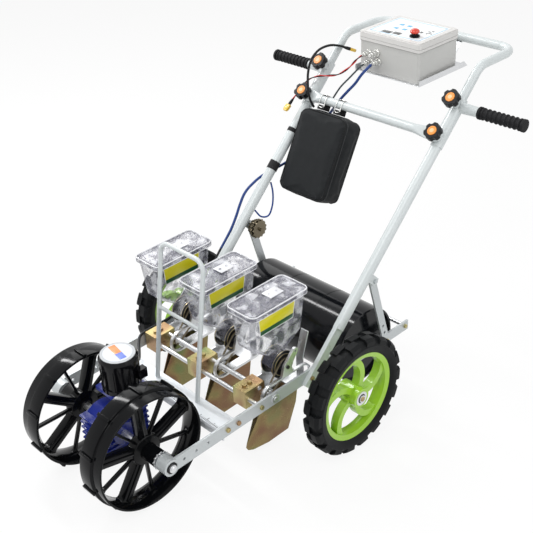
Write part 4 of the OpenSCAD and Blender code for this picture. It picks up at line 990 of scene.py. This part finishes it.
def stop_button():
    """The mushroom cap and its stem, which travel, in a collar that stays on the lid."""
    base = RAIL @ shift(STOP_X, STOP_U, BOX_TOP) @ turn(-90, "Y")
    collar = ring(11.6, 14, -0.3, 3.2)
    piece(collar, "stop_collar", base, KNOB_BLACK, "upper_handle")
    cap = lathe([(0, 10), (11, 10), (STOP_R, 12), (STOP_R, 15), (12, 18), (9.5, 20.2), (5, 21.6), (0, 22)])
    ease(cap, 0.5)
    piece(cap, "stop_cap", base, STOP_RED, "stop_button", ("stop_button",))
    stem = lathe([(0, -15.9), (9.5, -15.9), (9.5, 10.1), (0, 10.1)])
    piece(stem, "stop_stem", base, KNOB_BLACK, "stop_button")


def panel():
    """The control box's lid: membrane, marks, a seam line and a painted shade line round its edge, and the
    stop button.
    """
    place = RAIL @ shift(0, PANEL_U, BOX_TOP - 0.55)
    panel_film(place)
    panel_marks(place)
    # seam is the dark joint of box and lid; step is painted shade where the lid's side steps, 9 mm above it
    for name, w, radius in (("seam", BOX_TOP - 26, 0.0005), ("step", BOX_TOP - 17, 0.0004)):
        path = rounded_outline(BOX_WIDE, BOX_LONG, 9)
        line = [RAIL @ Vector((across, PANEL_U + along, w)) for across, along in path]
        closed_wire("lid_" + name, line, radius, SEAM_AND_STEP_SHADE, "upper_handle")
    stop_button()


# Battery bag


def fill_bag(shell):
    """Swells the bag's cloth by pressure, no point further than BAG_SWELL."""
    start = [v.co.copy() for v in shell.data.vertices]
    cloth = shell.modifiers.new("fill", "CLOTH")
    cloth.settings.use_pressure = True
    cloth.settings.uniform_pressure_force = 4
    cloth.settings.effector_weights.gravity = 0
    for step in range(1, 21):
        scene.frame_set(step)
    settle(shell)
    scene.frame_set(1)
    for v, at in zip(shell.data.vertices, start):
        moved = v.co - at
        if moved.length > BAG_SWELL:
            v.co = at + moved * (BAG_SWELL / moved.length)


def bag():
    """The battery bag: a soft box of cloth, filled."""
    wide, high, deep = 174, 244, 78
    front = rounded_outline(wide, high, 27)
    bm = extruded([(a, -deep / 2, b) for a, b in front], (0, deep, 0))
    ease(bm, 4, 3)
    bmesh.ops.transform(bm, matrix=RAIL @ BAG, verts=bm.verts)
    shell = added("bag_shell", to_mesh(bm, "bag_shell"))
    even = shell.modifiers.new("even", "REMESH")
    even.mode = "VOXEL"
    even.voxel_size = 0.005
    settle(shell)
    fill_bag(shell)
    fine = shell.modifiers.new("fine", "SUBSURF")
    fine.levels = fine.render_levels = 1
    settle(shell)
    shell.data.shade_smooth()
    shell.data.materials.append(BAG_CLOTH)
    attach(shell, "chassis")
    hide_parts("battery_bag")
    return shell


def bag_trim(shell):
    """Piping and a zip, laid on the filled bag's skin."""
    place = RAIL @ BAG
    skin = BVHTree.FromObject(shell, bpy.context.evaluated_depsgraph_get())
    path = rounded_outline(182, 252, 30, 12)
    lift = 0.0004
    for name, depth, radius, finish in (("piping_front", -40, 0.0017, PIPING),
                                        ("piping_rear", 40, 0.0017, PIPING), ("zip", -24, 0.0013, ZIP)):
        line = []
        for a, b in path:
            at, out = skin.find_nearest(place @ Vector((a, depth, b)))[:2]
            line.append(at + out * lift)
        closed_wire("bag_" + name, line, radius, finish, "chassis")


def strap_band(name, path, wide, thick, place, stands_for=()):
    """Webbing along a path of (u, w) points, its width across X."""
    strips = 4
    bm = bmesh.new()
    verts = [bm.verts.new((-wide / 2, u, w)) for u, w in path]
    edges = [bm.edges.new(pair) for pair in zip(verts, verts[1:])]
    for strip in range(strips):
        grown = bmesh.ops.extrude_edge_only(bm, edges=edges)["geom"]
        edges = [g for g in grown if isinstance(g, bmesh.types.BMEdge)]
        verts = [g for g in grown if isinstance(g, bmesh.types.BMVert)]
        bmesh.ops.translate(bm, vec=(wide / strips, 0, 0), verts=verts)
    return piece(walled(bm, thick), name, place, STRAP_CLOTH, "chassis", stands_for)


def straps():
    """The bag's straps over the cross tube with their tabs and wire clips, and bands on the left handle."""
    lap, drop, wide, thick = 13.85, 29, 24, 1.2
    over = [(lap, w) for w in (-drop, -18, -9)] + arc(lap, range(0, 121, 12))
    tab = [(-lap, w) for w in (-drop, -22, -16)]
    clip = [(-lap, w) for w in (-18, -9, 0)] + arc(lap, (165, 150, 135, 120, 110))
    clip_half, clip_lift = 10, 1.04
    for i, x in enumerate((-152, -92), 1):
        place = RAIL @ shift(x, CROSS_U, CROSS_W) @ BAG_LEAN
        made = strap_band("bag_strap_%d" % i, over, wide, thick, place, ("bag_straps",))
        made = strap_band("bag_strap_tab_%d" % i, tab, wide, thick, place)
        loop = [place @ Vector((-clip_half, clip_lift * u, clip_lift * w)) for u, w in clip]
        loop += [place @ Vector((clip_half, clip_lift * u, clip_lift * w)) for u, w in reversed(clip)]
        closed_wire("strap_wire_%d" % i, loop, 0.0011, NICKEL, "chassis")
    around = arc(16, range(0, 351, 13))
    for i, (s, band) in enumerate(((475, 26), (592, 12)), 1):
        strap_band("tube_strap_%d" % i, around, band, 1.5, on_handle(-1, s) @ turn(90, "Y"))


# Studio


def floor():
    """A pale floor that keeps the shadow and shows nearly white."""
    bm = bmesh.new()
    bmesh.ops.create_grid(bm, x_segments=1, y_segments=1, size=14)
    mesh = to_mesh(bm, "floor")
    ground = added("floor", mesh)
    ground.location.z = -0.0005
    finish = Finish("pale_floor", (0.90, 0.90, 0.90), 0.8, specular_ior_level=0.1)
    glow = finish.node("ShaderNodeEmission", {}, {"Color": (1, 1, 1, 1), "Strength": 1.0})
    lit = Wire(finish, finish.surface.outputs[0])
    share = 0.88 * finish.backdrop_rays()
    mixed = finish.node("ShaderNodeMixShader", {}, {0: share, 1: lit, 2: glow})
    finish.tree.links.new(mixed.socket, finish.tree.nodes["Material Output"].inputs["Surface"])
    mesh.materials.append(finish.material)


def backdrop():
    """A white world that gives half its light to the object."""
    world = bpy.data.worlds.new("studio")
    scene.world = world
    world.use_nodes = True
    shading = Shading(world.node_tree)
    white = shading.tree.nodes["Background"]
    white.inputs["Color"].default_value = (1, 1, 1, 1)
    strength = 0.5 + 0.5 * shading.backdrop_rays()
    shading.tree.links.new(strength.socket, white.inputs["Strength"])


def lamps():
    """Soft boxes, all turned to the middle of the machine: each one's place, size and power."""
    aim = Vector((0, 0, 0.4))
    for name, at, size, power in (("key_box", (0.6, -2.6, 3.2), (2.2, 2.2), 62),
                                  ("fill_box", (3.0, 0.6, 2.4), (2.4, 2.4), 36),
                                  ("back_box", (-2.6, 1.4, 2.8), (2.0, 2.0), 24),
                                  ("strip_box", (-1.9, -0.2, 2.6), (0.22, 2.0), 46)):
        lamp = bpy.data.lights.new(name, "AREA")
        lamp.shape = "RECTANGLE"
        lamp.size, lamp.size_y = size
        lamp.energy = power
        made = added(name, lamp)
        made.location = at
        made.rotation_euler = (aim - Vector(at)).to_track_quat("-Z", "Y").to_euler()


lead_pieces()
frame_pieces()
drive_pieces()
unit_pieces()
control_pieces()
ruler_ticks()
hub_details()
motor_disc()
knob_caps()
hopper_labels()
lid_edges()
roller_bands()
panel()
bag_trim(bag())
straps()
floor()
backdrop()
lamps()
scene.view_settings.view_transform = "Standard"
# The camera looks through several clear walls of the hoppers
scene.cycles.transparent_max_bounces = 48
